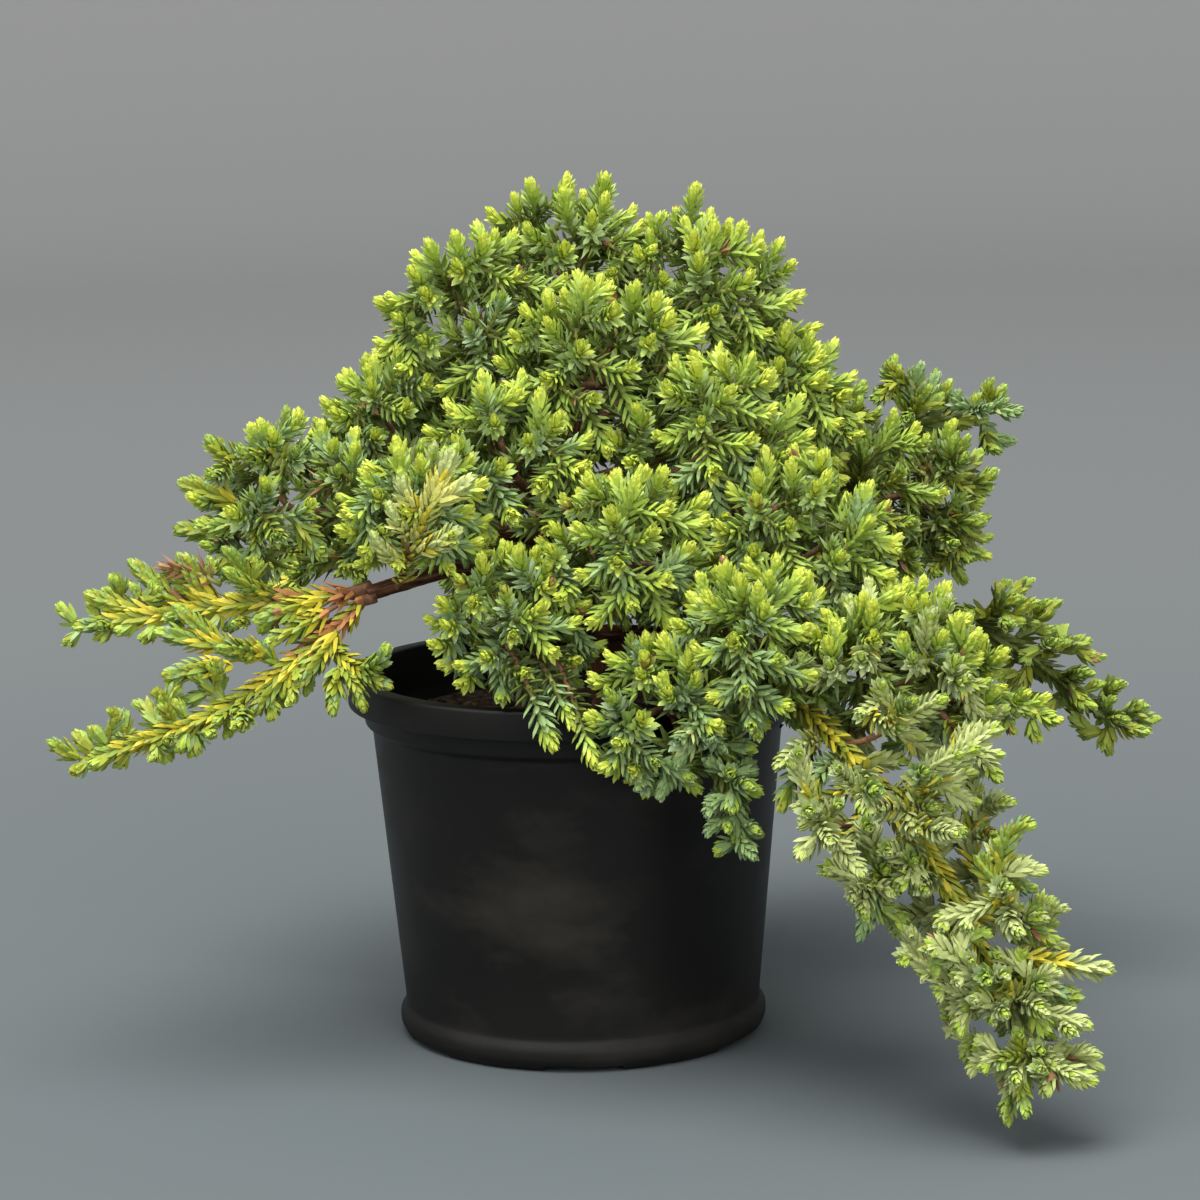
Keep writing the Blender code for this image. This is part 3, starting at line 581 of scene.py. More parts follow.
def trunk_limb():
    foot = np.array([*TRUNK_FOOT, SOIL_TOP + GAP])
    collar = foot + UP * TRUNK_FLARE_HEIGHT
    path = np.vstack([foot, through([collar, TRUNK_LEAN, TRUNK_BEND, TRUNK_TIP], TRUNK_POINTS)])
    radii = np.linspace(TRUNK_RADIUS, TRUNK_TIP_RADIUS, TRUNK_POINTS)
    return Limb(path, np.concatenate([[TRUNK_FLARE], radii]))


def bough_limb(trunk, height, passing, tip, root_radius, tip_radius):
    origin = trunk.at_height(height)
    way = unit(np.array(passing, float) - origin)
    start = clear_start(trunk, origin, way, root_radius)
    return Limb(through([start, passing, tip], BOUGH_POINTS),
                np.linspace(root_radius, tip_radius, BOUGH_POINTS))


limbs = {"trunk": trunk_limb()}
for name, sizes in BOUGHS.items():
    limbs[name] = bough_limb(limbs["trunk"], *sizes)
print("trunk length", round(lengths(limbs["trunk"].path)[-1], 1), "mm")


# %% Masses and the room that each has
STEM_RADIUS = 1.0
STEM_POINTS = 12
STEM_STRAIGHT = 1.5


class Mass:
    """One mass of shoots, with the space it keeps to and its stem."""

    def __init__(self, name, seed):
        self.name = name
        self.seed = seed
        self.axis = None


def cushion_mass(name, seed):
    middle, reach, limb, height = CUSHIONS[name]
    mass = Mass(name, seed)
    mass.middle = np.array(middle, float)
    mass.reach = reach
    mass.limb = limb
    mass.leaves_at = height
    mass.balls = [(mass.middle, reach)]
    return mass


def spray_mass(name, seed):
    first, second, tip, width, roll, limb = SPRAYS[name]
    mass = Mass(name, seed)
    mass.axis = [np.array(place, float) for place in (first, second, tip)]
    mass.width = width
    mass.roll = math.radians(roll)
    mass.limb = limb
    mass.leaves_at = None
    axis = evened(through(mass.axis, 24))
    total = lengths(axis)[-1]
    mass.middle = axis[len(axis) // 2]
    mass.reach = width
    count = max(3, int(round(total / width)))
    shares = [(step + 0.5) / count for step in range(count)]
    places, _ = sampled(axis, np.array(shares) * total)
    mass.balls = [(place, width * (1.15 - 0.25 * share)) for place, share in zip(places, shares)]
    return mass


MINGLE = 4.5


class Space:
    """Says how much room a point has in its own mass, and round the limbs."""

    def __init__(self, masses, limbs):
        self.middles = np.array([ball[0] for mass in masses for ball in mass.balls])
        self.reaches = np.array([ball[1] for mass in masses for ball in mass.balls])
        self.owners = np.array([mass.name for mass in masses for _ in mass.balls])
        self.limbs = limbs
        self.stems = {}

    def room(self, points, name):
        offset = points[:, None, :] - self.middles[None]
        power = (offset ** 2).sum(2) - self.reaches ** 2
        own = self.owners == name
        nearest = np.argmin(np.where(own, power, np.inf), axis=1)
        own_power = power[np.arange(len(points)), nearest]
        span = np.linalg.norm(self.middles[None] - self.middles[nearest][:, None], axis=2)
        room = (power - own_power[:, None]) / (2 * np.maximum(span, 1e-6))
        return np.where(own, np.inf, room).min(axis=1)

    def limb_clearance(self, points):
        nearest = np.full(len(points), np.inf)
        for limb in self.limbs.values():
            nearest = np.minimum(nearest, limb.clearance(points))
        return nearest

    def fits(self, points, name, margin):
        inside = pot_clear(points, margin) & (self.room(points, name) > margin - MINGLE)
        return inside & (self.limb_clearance(points) > margin)


def pot_clear(points, margin=0.6):
    """True for each point that lies clear of the pot, the mix and the floor."""
    out = np.hypot(points[:, 0], points[:, 1])
    height = points[:, 2]
    wall = between(BULGE_RADIUS, COLLAR_RADIUS, np.clip(height / WALL_TOP, 0, 1))
    rim = np.where(height > POT_HEIGHT - RIM_DROP - 1, RIM_RADIUS, wall)
    above = height > POT_HEIGHT + margin
    beside = (out > rim + margin) & (height > 1.5)
    inside = (out < WALL_TOP_RADIUS - POT_WALL - margin) & (height > SOIL_TOP + margin)
    return above | beside | inside


def stem_goal(mass):
    return mass.middle if mass.axis is None else mass.axis[0]


def stem_path(mass, carrier, mates):
    """The path of a mass's stem, from its limb into the mass."""
    if mass.leaves_at is not None:
        origin = carrier.at_height(mass.leaves_at)
        way = unit(mass.middle - origin)
        root = clear_start(carrier, origin, way, STEM_RADIUS)
        return bend(root, way, mass.middle, unit(way + 0.3 * UP), STEM_POINTS)
    leaving = unit(carrier.path[-1] - carrier.path[-2])
    root = carrier.path[-1] + leaving * GAP
    if mates:
        apart = stem_goal(mass) - stem_goal(mates[0])
        apart = unit(apart - leaving * (apart @ leaving))
        root = root + apart * (STEM_RADIUS + GAP)
    if mass.axis is not None:
        return through([root, root + leaving * STEM_STRAIGHT] + mass.axis, 3 * STEM_POINTS)
    reach = bend(root + leaving * STEM_STRAIGHT, leaving, mass.middle,
                 unit(mass.middle - root), STEM_POINTS)
    return np.vstack([root, reach])


masses = [cushion_mass(name, seed) for seed, name in enumerate(CUSHIONS, 1)]
masses += [spray_mass(name, seed) for seed, name in enumerate(SPRAYS, len(masses) + 1)]
space = Space(masses, limbs)
for mass in masses:
    mates = [other for other in masses if other is not mass and other.limb == mass.limb
             and other.leaves_at is None]
    path = stem_path(mass, limbs[mass.limb], mates)
    space.stems[mass.name] = Limb(path, np.full(len(path), STEM_RADIUS))
print(len(masses), "masses")

# %% [markdown]
# ## Twigs and their tips
#
# In each mass the tips come in two layers: the shoots that make the outside,
# and shorter ones further in, which close the gaps between them as the old
# foliage does on the real plant. In the open sprays the side shoots leave
# one long axis, nearer together than in the frame's solids.

# %% Where the tips go
TIP_AREA = 92.0
FULLNESS = {
    "front_low": 1.9, "front_mid": 1.6, "right_front": 1.8, "front_left": 1.2, "left_near": 1.3, "right_back": 1.4,
    "spray_droop": 1.75, "spray_hang": 2.2, "spray_left_high": 1.3, "spray_left_low": 1.0,
    "spray_right_small": 1.5, "spray_right_high": 1.3, "spray_right_low": 1.2,
}
INNER_LAYERS = ((0.70, 105.0, 500), (0.42, 90.0, 900))
SPRAY_TIP_AREA = 19.0
LOWEST_AIM = -0.70
LOWER_AIMS = {"front_low": -0.97, "front_mid": -0.97, "right_front": -0.97, "front_left": -0.85,
              "left_middle": -0.85, "right_back": -0.9}


SPRAY_LEAFLESS = 0.16
HANGING = {"spray_left_low": 0.5, "spray_left_high": 0.6}
SWING = {"spray_droop": 1.5}


def aim_of(mass, tip):
    out = np.array([tip[0], tip[1], 0.0])
    return unit(unit(tip - mass.middle) + 0.7 * UP + 0.15 * unit(out + 0.01))


def cushion_targets(mass, area, share, first=0):
    """Tips spread evenly over a rounded mass, in an order that fills in."""
    reach = mass.reach * share
    lowest = LOWER_AIMS.get(mass.name, LOWEST_AIM)
    area = area / FULLNESS.get(mass.name, 1.0)
    count = int(2 * math.pi * reach ** 2 * (1 - lowest) / area)
    for step in range(first, first + count):
        turn = 2 * math.pi * math.modf(0.37 * mass.seed + step / PLASTIC)[0]
        rise = 1 - (1 - lowest) * math.modf(0.5 + step / PLASTIC ** 2)[0]
        flat = math.sqrt(max(0.0, 1 - rise * rise))
        way = np.array([flat * math.cos(turn), flat * math.sin(turn), rise])
        tip = mass.middle + way * reach * between(0.90, 1.06, chance(mass.seed, step))
        yield tip, aim_of(mass, tip)


def spray_targets(mass, area):
    """Tips to either side of a spray's axis, shorter towards its end."""
    stem = evened(space.stems[mass.name].path)
    axis = stem[int(len(stem) * SPRAY_LEAFLESS):]
    total = lengths(axis)[-1]
    count = int(total * mass.width * FULLNESS.get(mass.name, 1.0) / area)
    for step in range(count):
        share = math.modf(0.31 + 0.17 * mass.seed + step * GOLDEN)[0]
        place, way = (found[0] for found in sampled(axis, np.array([share * total])))
        level = unit(np.cross(way, UP))
        rise = np.cross(level, way)
        swing = SWING.get(mass.name, 1.0)
        tilt = mass.roll + between(-swing, swing, chance(mass.seed, step))
        side = 1 if step % 2 else -1
        across = side * (math.cos(tilt) * level + math.sin(tilt) * rise)
        wide = mass.width * between(1.1, 0.42, share) * between(0.62, 1.2, chance(mass.seed, step + 0.5))
        if across[2] < 0:
            wide *= HANGING.get(mass.name, 1.0)
        tip = place + across * wide * 0.68 + way * wide * 1.0
        yield tip, unit(0.8 * way + 0.45 * across + 0.3 * UP)


print("tip rules ready")

# %% Growing the twigs of a mass
WIDEST_TURN = math.radians(100)
SHORTEST_TWIG = 5.0
LONGEST_TWIG = 34.0
BARE_STEM = 0.3
BARE_SPRAY_STEM = 0.12
TWIG_ROOM = 1.4
TIPS_APART = 5.2
SPRAY_TIPS_APART = 4.0


def grow(mass, targets, apart, start=None):
    """Twigs as paths from a parent to each tip, and the knots they can leave."""
    if start is None:
        stem = evened(space.stems[mass.name].path)
        bare = BARE_STEM if mass.axis is None else BARE_SPRAY_STEM
        first = int(len(stem) * bare)
        start = (stem[first:], sampled(stem, lengths(stem))[1][first:], [])
    knots, ways, tips = start
    twigs = []
    for tip, aim in targets:
        if tips and np.linalg.norm(np.array(tips) - tip, axis=1).min() < apart:
            continue
        run = tip - knots
        far = np.linalg.norm(run, axis=1)
        facing = (run * ways).sum(1) / np.maximum(far, 1e-6)
        usable = (far > SHORTEST_TWIG) & (far < LONGEST_TWIG) & (facing > math.cos(WIDEST_TURN))
        if not usable.any():
            continue
        cost = np.where(usable, far * (1.6 - 0.6 * facing), np.inf)
        pick = int(np.argmin(cost))
        leaving = unit(ways[pick] + unit(run[pick]))
        path = evened(bend(knots[pick], leaving, tip, aim, 14))
        outer = path[min(3, len(path) - 3):]
        if not space.fits(outer, mass.name, TWIG_ROOM).all():
            continue
        twigs.append(path)
        tips.append(tip)
        half = int(len(path) * 0.6)
        knots = np.vstack([knots, path[2:half]])
        ways = np.vstack([ways, sampled(path, lengths(path))[1][2:half]])
    return twigs, (knots, ways, tips)


class Shoot:
    """One twig with its leafy end: what it belongs to and how it looks."""

    def __init__(self, mass, path, habit, family, number):
        self.mass = mass
        self.path = path
        self.habit = habit
        self.family = family
        self.number = number


print("twig rule ready")

# %% [markdown]
# ## Which shoot has which colours
#
# The colours have places on this plant: lime tips over the dome, blue-green
# in the shade and at the left, yellow stems on the side sprays, dull
# grey-green on the drooping spray, one pale cream shoot and a few dead brown
# ones. Each shoot is dealt a family, and a family names the tint of its
# needles at each distance from the tip.

# %% Families and where they are dealt
TINTS = {
    "lime": (0.55, 0.63, 0.075),
    "fresh": (0.36, 0.48, 0.06),
    "leaf": (0.25, 0.355, 0.055),
    "blue": (0.23, 0.34, 0.12),
    # deep: older needles far from the tips, darker also as painted shade inside the foliage
    "deep": (0.10, 0.13, 0.018),
    "yellow": (0.60, 0.52, 0.045),
    "moss": (0.30, 0.34, 0.032),
    "grey": (0.46, 0.52, 0.19),
    "cream": (0.72, 0.71, 0.21),
    "brown": (0.30, 0.15, 0.07),
    "scale": (0.47, 0.205, 0.075),
    "withered": (0.22, 0.14, 0.035),
}
TINT_NAMES = list(TINTS)

FAMILIES = {
    "bright": [(2.8, "lime"), (5.2, "fresh"), (10.5, "leaf"), (999, "deep")],
    "green": [(1.6, "lime"), (4.6, "fresh"), (10.5, "leaf"), (999, "deep")],
    "shade": [(2.4, "fresh"), (9.0, "blue"), (999, "deep")],
    "cool": [(1.8, "lime"), (4.0, "fresh"), (11.0, "blue"), (999, "deep")],
    "inner": [(3.0, "leaf"), (8.0, "deep"), (999, "withered")],
    "rope": [(2.6, "fresh moss"), (5.5, "blue leaf moss"), (9.5, "leaf moss"), (999, "yellow moss")],
    "rope_pale": [(2.0, "fresh leaf"), (5.0, "blue leaf moss"), (10.0, "moss leaf"), (999, "moss yellow")],
    "dull": [(2.5, "grey fresh"), (9.0, "grey"), (14.0, "moss grey yellow"), (999, "yellow moss")],
    "dull_blue": [(4.5, "blue"), (11.0, "grey blue"), (999, "moss")],
    "dark": [(2.2, "fresh leaf"), (5.0, "moss leaf"), (12.0, "moss deep"), (999, "deep")],
    "pale": [(2.2, "fresh grey"), (4.5, "grey"), (7.5, "grey cream"), (999, "cream cream yellow")],
    "dead": [(999, "brown")],
}

DEALT = {
    "crown_front": [("bright", 0.7), ("green", 0.3)],
    "crown_left": [("bright", 0.3), ("green", 0.6), ("shade", 0.1)],
    "crown_back": [("bright", 0.3), ("green", 0.7)],
    "crown_right": [("bright", 0.45), ("green", 0.55)],
    "dome_left": [("green", 0.5), ("cool", 0.4), ("shade", 0.1)],
    "dome_right": [("bright", 0.4), ("green", 0.6)],
    "dome_front_left": [("bright", 0.3), ("green", 0.3), ("cool", 0.4)],
    "dome_front_right": [("bright", 0.6), ("green", 0.25), ("cool", 0.15)],
    "front_centre": [("bright", 0.6), ("green", 0.1), ("cool", 0.3)],
    "front_right": [("bright", 0.5), ("green", 0.3), ("cool", 0.2)],
    "front_left": [("bright", 0.3), ("cool", 0.6), ("shade", 0.1)],
    "front_low": [("bright", 0.2), ("cool", 0.4), ("dull_blue", 0.2), ("shade", 0.2)],
    "front_mid": [("bright", 0.4), ("cool", 0.4), ("shade", 0.2)],
    "right_front": [("bright", 0.5), ("dull", 0.4), ("cool", 0.1)],
    "left_middle": [("cool", 0.6), ("rope_pale", 0.3), ("shade", 0.1)],
    "left_near": [("bright", 0.4), ("cool", 0.6)],
    "right_back": [("green", 0.25), ("dark", 0.75)],
    "spray_left_low": [("rope", 0.8), ("rope_pale", 0.2)],
    "spray_left_high": [("rope", 0.5), ("rope_pale", 0.5)],
    "spray_droop": [("dull", 0.8), ("rope_pale", 0.2)],
    "spray_hang": [("shade", 0.5), ("dull_blue", 0.5)],
    "spray_right_small": [("green", 0.6), ("dull", 0.4)],
    "spray_right_high": [("dark", 0.7), ("dull_blue", 0.3)],
    "spray_right_low": [("dark", 0.9), ("rope_pale", 0.1)],
}
ELSEWHERE = [("green", 0.5), ("cool", 0.2), ("dark", 0.2), ("bright", 0.1)]

SPOTS = [
    ((-53, -24, 112), 4.0, "scale"),
    ((-59, -26, 108.5), 3.5, "scale"),
    ((-66, -29, 104), 3.0, "scale"),
]

PATCHES = [
    ((-32, -28, 150), 6.0, "pale"),
]


def family_of(mass, tip, number):
    """The family of a shoot: from a patch it lies in, or dealt by chance, which in a rounded mass is tilted by height
    as painted light and shade.
    """
    for place, reach, family in PATCHES:
        if np.linalg.norm(tip - np.array(place)) < reach:
            return family
    # Painted light and shade: in a rounded mass a shoot above the middle gets the brighter families, listed first,
    # and one below it the bluer and darker ones.
    lift = 0.0 if mass.axis else 0.15 - 0.35 * (tip[2] - mass.middle[2]) / mass.reach
    roll = min(0.999, max(0.0, chance(mass.seed + 0.3, number) + lift))
    for family, share in DEALT.get(mass.name, ELSEWHERE):
        roll -= share
        if roll < 0:
            return family
    return family


print(len(TINTS), "tints,", len(FAMILIES), "families")

# %% Single shoots that stand out in the photo
# the mass that each belongs to, its habit and family, and the places that it passes
SINGLE_SHOOTS = [
    ("left_near", "rope", "pale", (-42, -31, 117), (-38, -42, 128), (-33, -46, 140), (-27.5, -45, 151)),
    ("left_near", "rope", "pale", (-34, -45.5, 138), (-29, -47, 141), (-24.5, -46, 144)),
    ("left_near", "rope", "pale", (-35, -45, 136), (-38, -47, 140), (-39.5, -47, 145)),
    ("left_near", "rope", "pale", (-39, -40, 123), (-43, -44, 127), (-46, -45, 131)),
    ("left_near", "rope", "pale", (-38, -42, 127), (-33, -46, 129), (-28, -47, 132)),
    ("left_near", "rope", "pale", (-37, -43, 131), (-40, -47, 134), (-42, -47, 138)),
    ("crown_right", "rosette", "green", (30, 33, 190), (31, 33, 200), (32, 33, 205)),
    ("crown_back", "rosette", "green", (-3, 42, 196), (-1, 44, 201), (0, 45, 204)),
    ("crown_back", "rosette", "green", (4, 42, 196), (6, 43, 200), (8, 43, 202)),
    ("right_back", "rosette", "dark", (91, 57, 144), (93, 58, 150), (94, 58, 154)),
    ("left_middle", "rope", "rope_pale", (-80, -8, 134), (-88, -6, 137), (-94, -4, 139)),
    ("left_middle", "rope", "rope_pale", (-81, -6, 129), (-89, -5, 128), (-95, -5, 128)),
    ("spray_left_low", "rope", "rope", (-56, -28, 108), (-60, -33, 102), (-65, -35, 96)),
    ("spray_left_low", "rope", "rope", (-61, -29, 104), (-70, -33, 96), (-76, -37, 90)),
    ("spray_left_high", "rope", "rope", (-57, -26, 112), (-65, -30, 108), (-72, -32, 105)),
    ("spray_left_high", "rope", "rope_pale", (-58, -24, 114), (-66, -28, 112), (-74, -30, 110)),
    ("spray_left_low", "rope", "rope_pale", (-77, -32, 100), (-86, -31, 105), (-94, -30, 112)),
    ("spray_left_low", "rope", "rope_pale", (-82, -32, 103), (-90, -31, 105), (-98, -31, 107)),
    ("spray_left_low", "rope", "rope", (-80, -33, 99), (-88, -35, 99), (-96, -36, 98)),
    ("spray_left_low", "rope", "rope", (-60, -28, 104), (-53, -36, 99), (-45, -42, 95.5)),
    ("spray_left_low", "rope", "rope_pale", (-52, -37, 98.5), (-48, -41, 100), (-45.5, -42, 103)),
    ("spray_left_low", "rope", "rope", (-56, -34, 100), (-53, -39, 96), (-51, -41, 91)),
    ("spray_left_high", "rope", "rope_pale", (-84, -22, 112), (-90, -21, 116), (-94, -20, 122)),
    ("spray_left_high", "rope", "rope_pale", (-92, -21, 111), (-99, -19, 115), (-106, -17, 121)),
    ("spray_left_high", "rope", "rope", (-98, -21, 110), (-107, -20, 111), (-116, -19, 114)),
    ("spray_left_high", "rope", "rope_pale", (-72, -24, 114), (-77, -28, 117), (-82, -30, 121)),
    ("spray_droop", "brush", "dull", (66, -78, 79), (60, -82, 76), (51, -81, 73)),
    ("spray_droop", "brush", "dull", (70, -82, 74), (64, -86, 68), (59, -88, 61)),
    ("spray_droop", "brush", "dull_blue", (75, -85, 68), (69, -91, 58), (64, -95, 47)),
    ("spray_droop", "brush", "dull", (57, -70, 86), (52, -76, 86), (47, -80, 83)),
    ("spray_droop", "brush", "cool", (62, -75, 83), (57, -81, 82), (53, -84, 77)),
    ("spray_droop", "brush", "dull", (66, -77, 81), (66, -84, 80), (65, -88, 75)),
    ("spray_droop", "brush", "dull", (70, -80, 77), (76, -85, 76), (79, -88, 71)),
    ("spray_droop", "brush", "dull", (76, -86, 68), (75, -94, 66), (76, -98, 60)),
    ("spray_droop", "brush", "dull", (88, -93, 50), (85, -96, 42), (84, -98, 34)),
    ("spray_droop", "brush", "dull", (94, -97, 41), (106, -99, 40), (117, -101, 38.5)),
    ("spray_droop", "brush", "dull_blue", (96, -98, 37), (103, -100, 35), (108, -101, 33)),
    ("spray_left_high", "old", "dead", (-85, -23, 117), (-91, -22, 120), (-97, -21, 121)),
    ("front_centre", "rosette", "shade", (10, -12, 112), (11, -19, 110), (12.2, -24, 106.5)),
    ("front_centre", "rosette", "shade", (16, -12, 113), (17, -19, 110), (17, -25, 107)),
    ("front_low", "rosette", "cool", (-16.3, -50, 107.1), (-10.7, -62, 97.8), (-6.2, -67, 87)),
    ("front_low", "rosette", "bright", (-5.3, -50, 104.5), (-0.3, -63, 94.5), (3.6, -68, 82.7)),
    ("front_low", "rosette", "cool", (-10.5, -47, 105.2), (-5.8, -60, 99.7), (-1.3, -66, 90.9)),
    ("right_front", "rosette", "cool", (57, -70, 86), (52, -72, 81), (48, -73, 73)),
    ("right_front", "brush", "dull", (84, -72, 92), (90, -82, 86), (94.5, -88, 81)),
    ("right_back", "brush", "dark", (88, 42, 118), (94, 44, 112), (99.4, 45, 104.6)),
    ("right_back", "brush", "green", (90, 44, 116), (98, 48, 112), (106, 50, 109)),
    ("spray_left_low", "rope", "rope_pale", (-56, -34, 100), (-57, -39, 96), (-57.5, -42, 91)),
]

# %% Growing the whole plant
FIRST_SINGLE = 700
BRUSH_LIKE = {"left_middle": 0.6, "right_front": 0.8, "right_back": 0.6, "front_low": 0.4, "front_mid": 0.3}
ROPES = ("spray_left_low", "spray_left_high", "spray_right_low")

shoots = []
for mass in masses:
    if mass.axis is None:
        apart = TIPS_APART / math.sqrt(FULLNESS.get(mass.name, 1.0))
        twigs, start = grow(mass, cushion_targets(mass, TIP_AREA, 1.0), apart)
        inner = []
        for share, area, first in INNER_LAYERS:
            more, start = grow(mass, cushion_targets(mass, area, share, first), TIPS_APART, start)
            inner += more
    else:
        twigs, _ = grow(mass, spray_targets(mass, SPRAY_TIP_AREA), SPRAY_TIPS_APART)
        inner = []
    for number, path in enumerate(twigs):
        habit = "rosette"
        if mass.name in ROPES:
            habit = "rope"
        elif mass.axis is not None or chance(mass.seed + 0.9, number) < BRUSH_LIKE.get(mass.name, 0.0):
            habit = "brush"
        shoots.append(Shoot(mass, path, habit, family_of(mass, path[-1], number), number))
    for number, path in enumerate(inner, 500):
        shoots.append(Shoot(mass, path, "old", "inner", number))
named = {mass.name: mass for mass in masses}
for number, (name, habit, family, *places) in enumerate(SINGLE_SHOOTS, FIRST_SINGLE):
    shoots.append(Shoot(named[name], evened(through(places, 12)), habit, family, number))
print(len(shoots), "shoots")
for mass in masses:
    print("  ", mass.name, sum(shoot.mass is mass for shoot in shoots))

# %% [markdown]
# ## Whorls of needles
#
# A juniper's needles stand in threes round the stem, and each three is turned
# a sixth of a circle from the last. Near the tip they are short, upright and
# close together; further down they are long and spread. Python works out
# one point for each whorl, with the direction of the stem and the size and
# lean of its needles, and Geometry Nodes put the needles on.

# %% The two habits of a shoot
# distance from the tip, needle length, lean in degrees, spacing to the next whorl
HABITS = {
    "rosette": [(0.0, 3.4, 8, 0.42), (1.2, 4.2, 18, 0.55), (2.4, 4.6, 30, 0.7), (4.2, 4.9, 43, 0.88),
                (7.0, 4.9, 53, 1.05), (11.0, 4.9, 60, 1.3), (30.0, 4.9, 66, 1.7)],
    "rope": [(0.0, 2.9, 6, 0.45), (1.5, 4.0, 17, 0.55), (4.0, 5.0, 26, 0.7), (8.0, 5.9, 31, 0.85),
             (14.0, 6.3, 33, 0.95), (60.0, 6.4, 33, 1.05)],
    "brush": [(0.0, 3.0, 8, 0.42), (1.5, 4.0, 21, 0.52), (4.0, 4.8, 34, 0.7), (8.0, 5.1, 41, 0.9),
              (14.0, 5.2, 44, 1.1), (60.0, 5.2, 46, 1.3)],
    "old": [(0.0, 4.5, 20, 1.0), (3.0, 6.0, 50, 1.4), (30.0, 6.5, 66, 2.0)],
}
NEEDLE_WIDTH = 1.6
BREADTH = {"rosette": 1.0, "rope": 1.22, "brush": 1.05, "old": 1.0}
LEAST_BARE = 1.5
DEAD_SHARE = 0.004


def habit_at(habit, distance):
    """Needle length, lean and spacing at a distance from the tip."""
    rows = np.array(HABITS[habit], float)
    return [float(np.interp(distance, rows[:, 0], rows[:, column])) for column in (1, 2, 3)]


def whorl_marks(habit, leafy):
    """The distances from the tip of a shoot's whorls."""
    marks = []
    distance = 0.0
    while distance < leafy:
        marks.append(distance)
        distance += habit_at(habit, distance)[2]
    return marks


def carried_sides(ways):
    """A side direction for each point, turning as little as it can."""
    side = unit(np.cross(ways[0], UP + 0.017))
    sides = []
    for way in ways:
        side = unit(side - way * (side @ way))
        sides.append(side)
    return np.array(sides)


def tint_at(family, distance, roll):
    """The tint of a whorl; where a row names two, the roll picks one."""
    for limit, tints in FAMILIES[family]:
        if distance + 1.6 * (roll - 0.5) < limit:
            names = tints.split()
            return TINT_NAMES.index(names[int(roll * 997) % len(names)])


def shoot_whorls(shoot, leafy, scale=1.0):
    """One row for each whorl: place, way, side, turn, lean, long, wide, tint."""
    path = shoot.path
    total = lengths(path)[-1]
    leafy = min(leafy, total - LEAST_BARE)
    marks = whorl_marks(shoot.habit, leafy)
    places, ways = sampled(path, total - np.array(marks)[::-1])
    sides = carried_sides(ways)
    rows = []
    phase = 6.28 * chance(shoot.mass.seed, shoot.number + 0.25)
    vigour = between(0.86, 1.12, chance(shoot.mass.seed, shoot.number + 0.75)) * scale
    for row, (distance, place, way, side) in enumerate(zip(marks[::-1], places, ways, sides)):
        long, lean, _ = habit_at(shoot.habit, distance)
        long *= vigour
        lean = math.radians(lean)
        reach = place + way * long * math.cos(lean)
        ring = [reach + long * math.sin(lean) * (math.cos(t) * side + math.sin(t) * np.cross(way, side))
                for t in (0.0, 1.57, 3.14, 4.71)]
        if not pot_clear(np.array(ring), 0.3).all():
            continue
        wide = NEEDLE_WIDTH * between(1.0, 0.86, min(1.0, distance / 12.0)) * vigour * BREADTH[shoot.habit]
        turn = phase + math.radians(60) * (row % 2)
        roll = chance(shoot.mass.seed + 0.1 * shoot.number, distance)
        tint = tint_at(shoot.family, distance, roll)
        if roll < DEAD_SHARE:
            tint = TINT_NAMES.index("brown")
        for spot, reach, other in SPOTS:
            if np.linalg.norm(place - np.array(spot)) < reach and chance(shoot.number, distance) < 0.7:
                tint = TINT_NAMES.index(other)
        rows.append((*place, *way, *side, turn, lean, long, wide, tint, float(shoot.habit == "old")))
    return rows


LEAFY = {"rosette": 13.5, "rope": 17.0, "brush": 15.0, "old": 13.0}
whorls = {}
for shoot in shoots:
    leafy = lengths(shoot.path)[-1] if shoot.number >= FIRST_SINGLE else LEAFY[shoot.habit]
    found = shoot_whorls(shoot, leafy)
    whorls.setdefault(shoot.mass.name, []).extend(found)
def papery_scales(path, spot, count):
    """Whorls of broad dry scales along a stem, near a spot."""
    path = evened(path, 0.5)
    start = int(np.argmin(np.linalg.norm(path - np.array(spot), axis=1)))
    rows = []
    for step in range(count):
        place = path[min(len(path) - 2, start + 3 * step)]
        way = unit(path[min(len(path) - 1, start + 3 * step + 1)] - place)
        side = unit(np.cross(way, UP))
        lean = math.radians(between(14, 34, chance(start, step)))
        long = between(4.5, 8.5, chance(start + 1, step))
        rows.append((*place, *way, *side, 0.9 * step, lean, long, 2.0, TINT_NAMES.index("scale"), 0.0))
    return rows


SCALE_SPOTS = [("spray_left_low", (-51, -22.5, 115), 4), ("spray_left_low", (-58, -26, 109), 5),
               ("spray_left_high", (-64, -24, 115), 3)]
for name, spot, count in SCALE_SPOTS:
    whorls[name].extend(papery_scales(space.stems[name].path, spot, count))
for mass in masses:
    if mass.axis is not None:
        stem = Shoot(mass, space.stems[mass.name].path, "rope", DEALT.get(mass.name, [("rope_pale", 1)])[0][0], -1)
        total = lengths(stem.path)[-1]
        whorls[mass.name].extend(shoot_whorls(stem, total - 2.0))
print(sum(len(rows) for rows in whorls.values()) * 3, "needles")

# %% [markdown]
# ## One needle
#
# A needle is an awl: widest near its base, sharp at its tip, keeled on the
# back and hollowed on the face, where two pale bands of wax run. Tens of
# thousands are needed, so each is a spindle of sixteen triangles whose two
# ends are closed points. The inner end sits inside the twig. Three
# shapes, one straight and two bent, are enough to hide the repeat.

# %% Needle shapes
NEEDLE_RINGS = ((0.26, 1.0), (0.76, 0.84))
OLD_RINGS = ((0.35, 1.0),)
NEEDLE_BACK = 0.40
NEEDLE_BENDS = {"awl_1": -0.17, "awl_2": -0.07, "awl_3": 0.03}


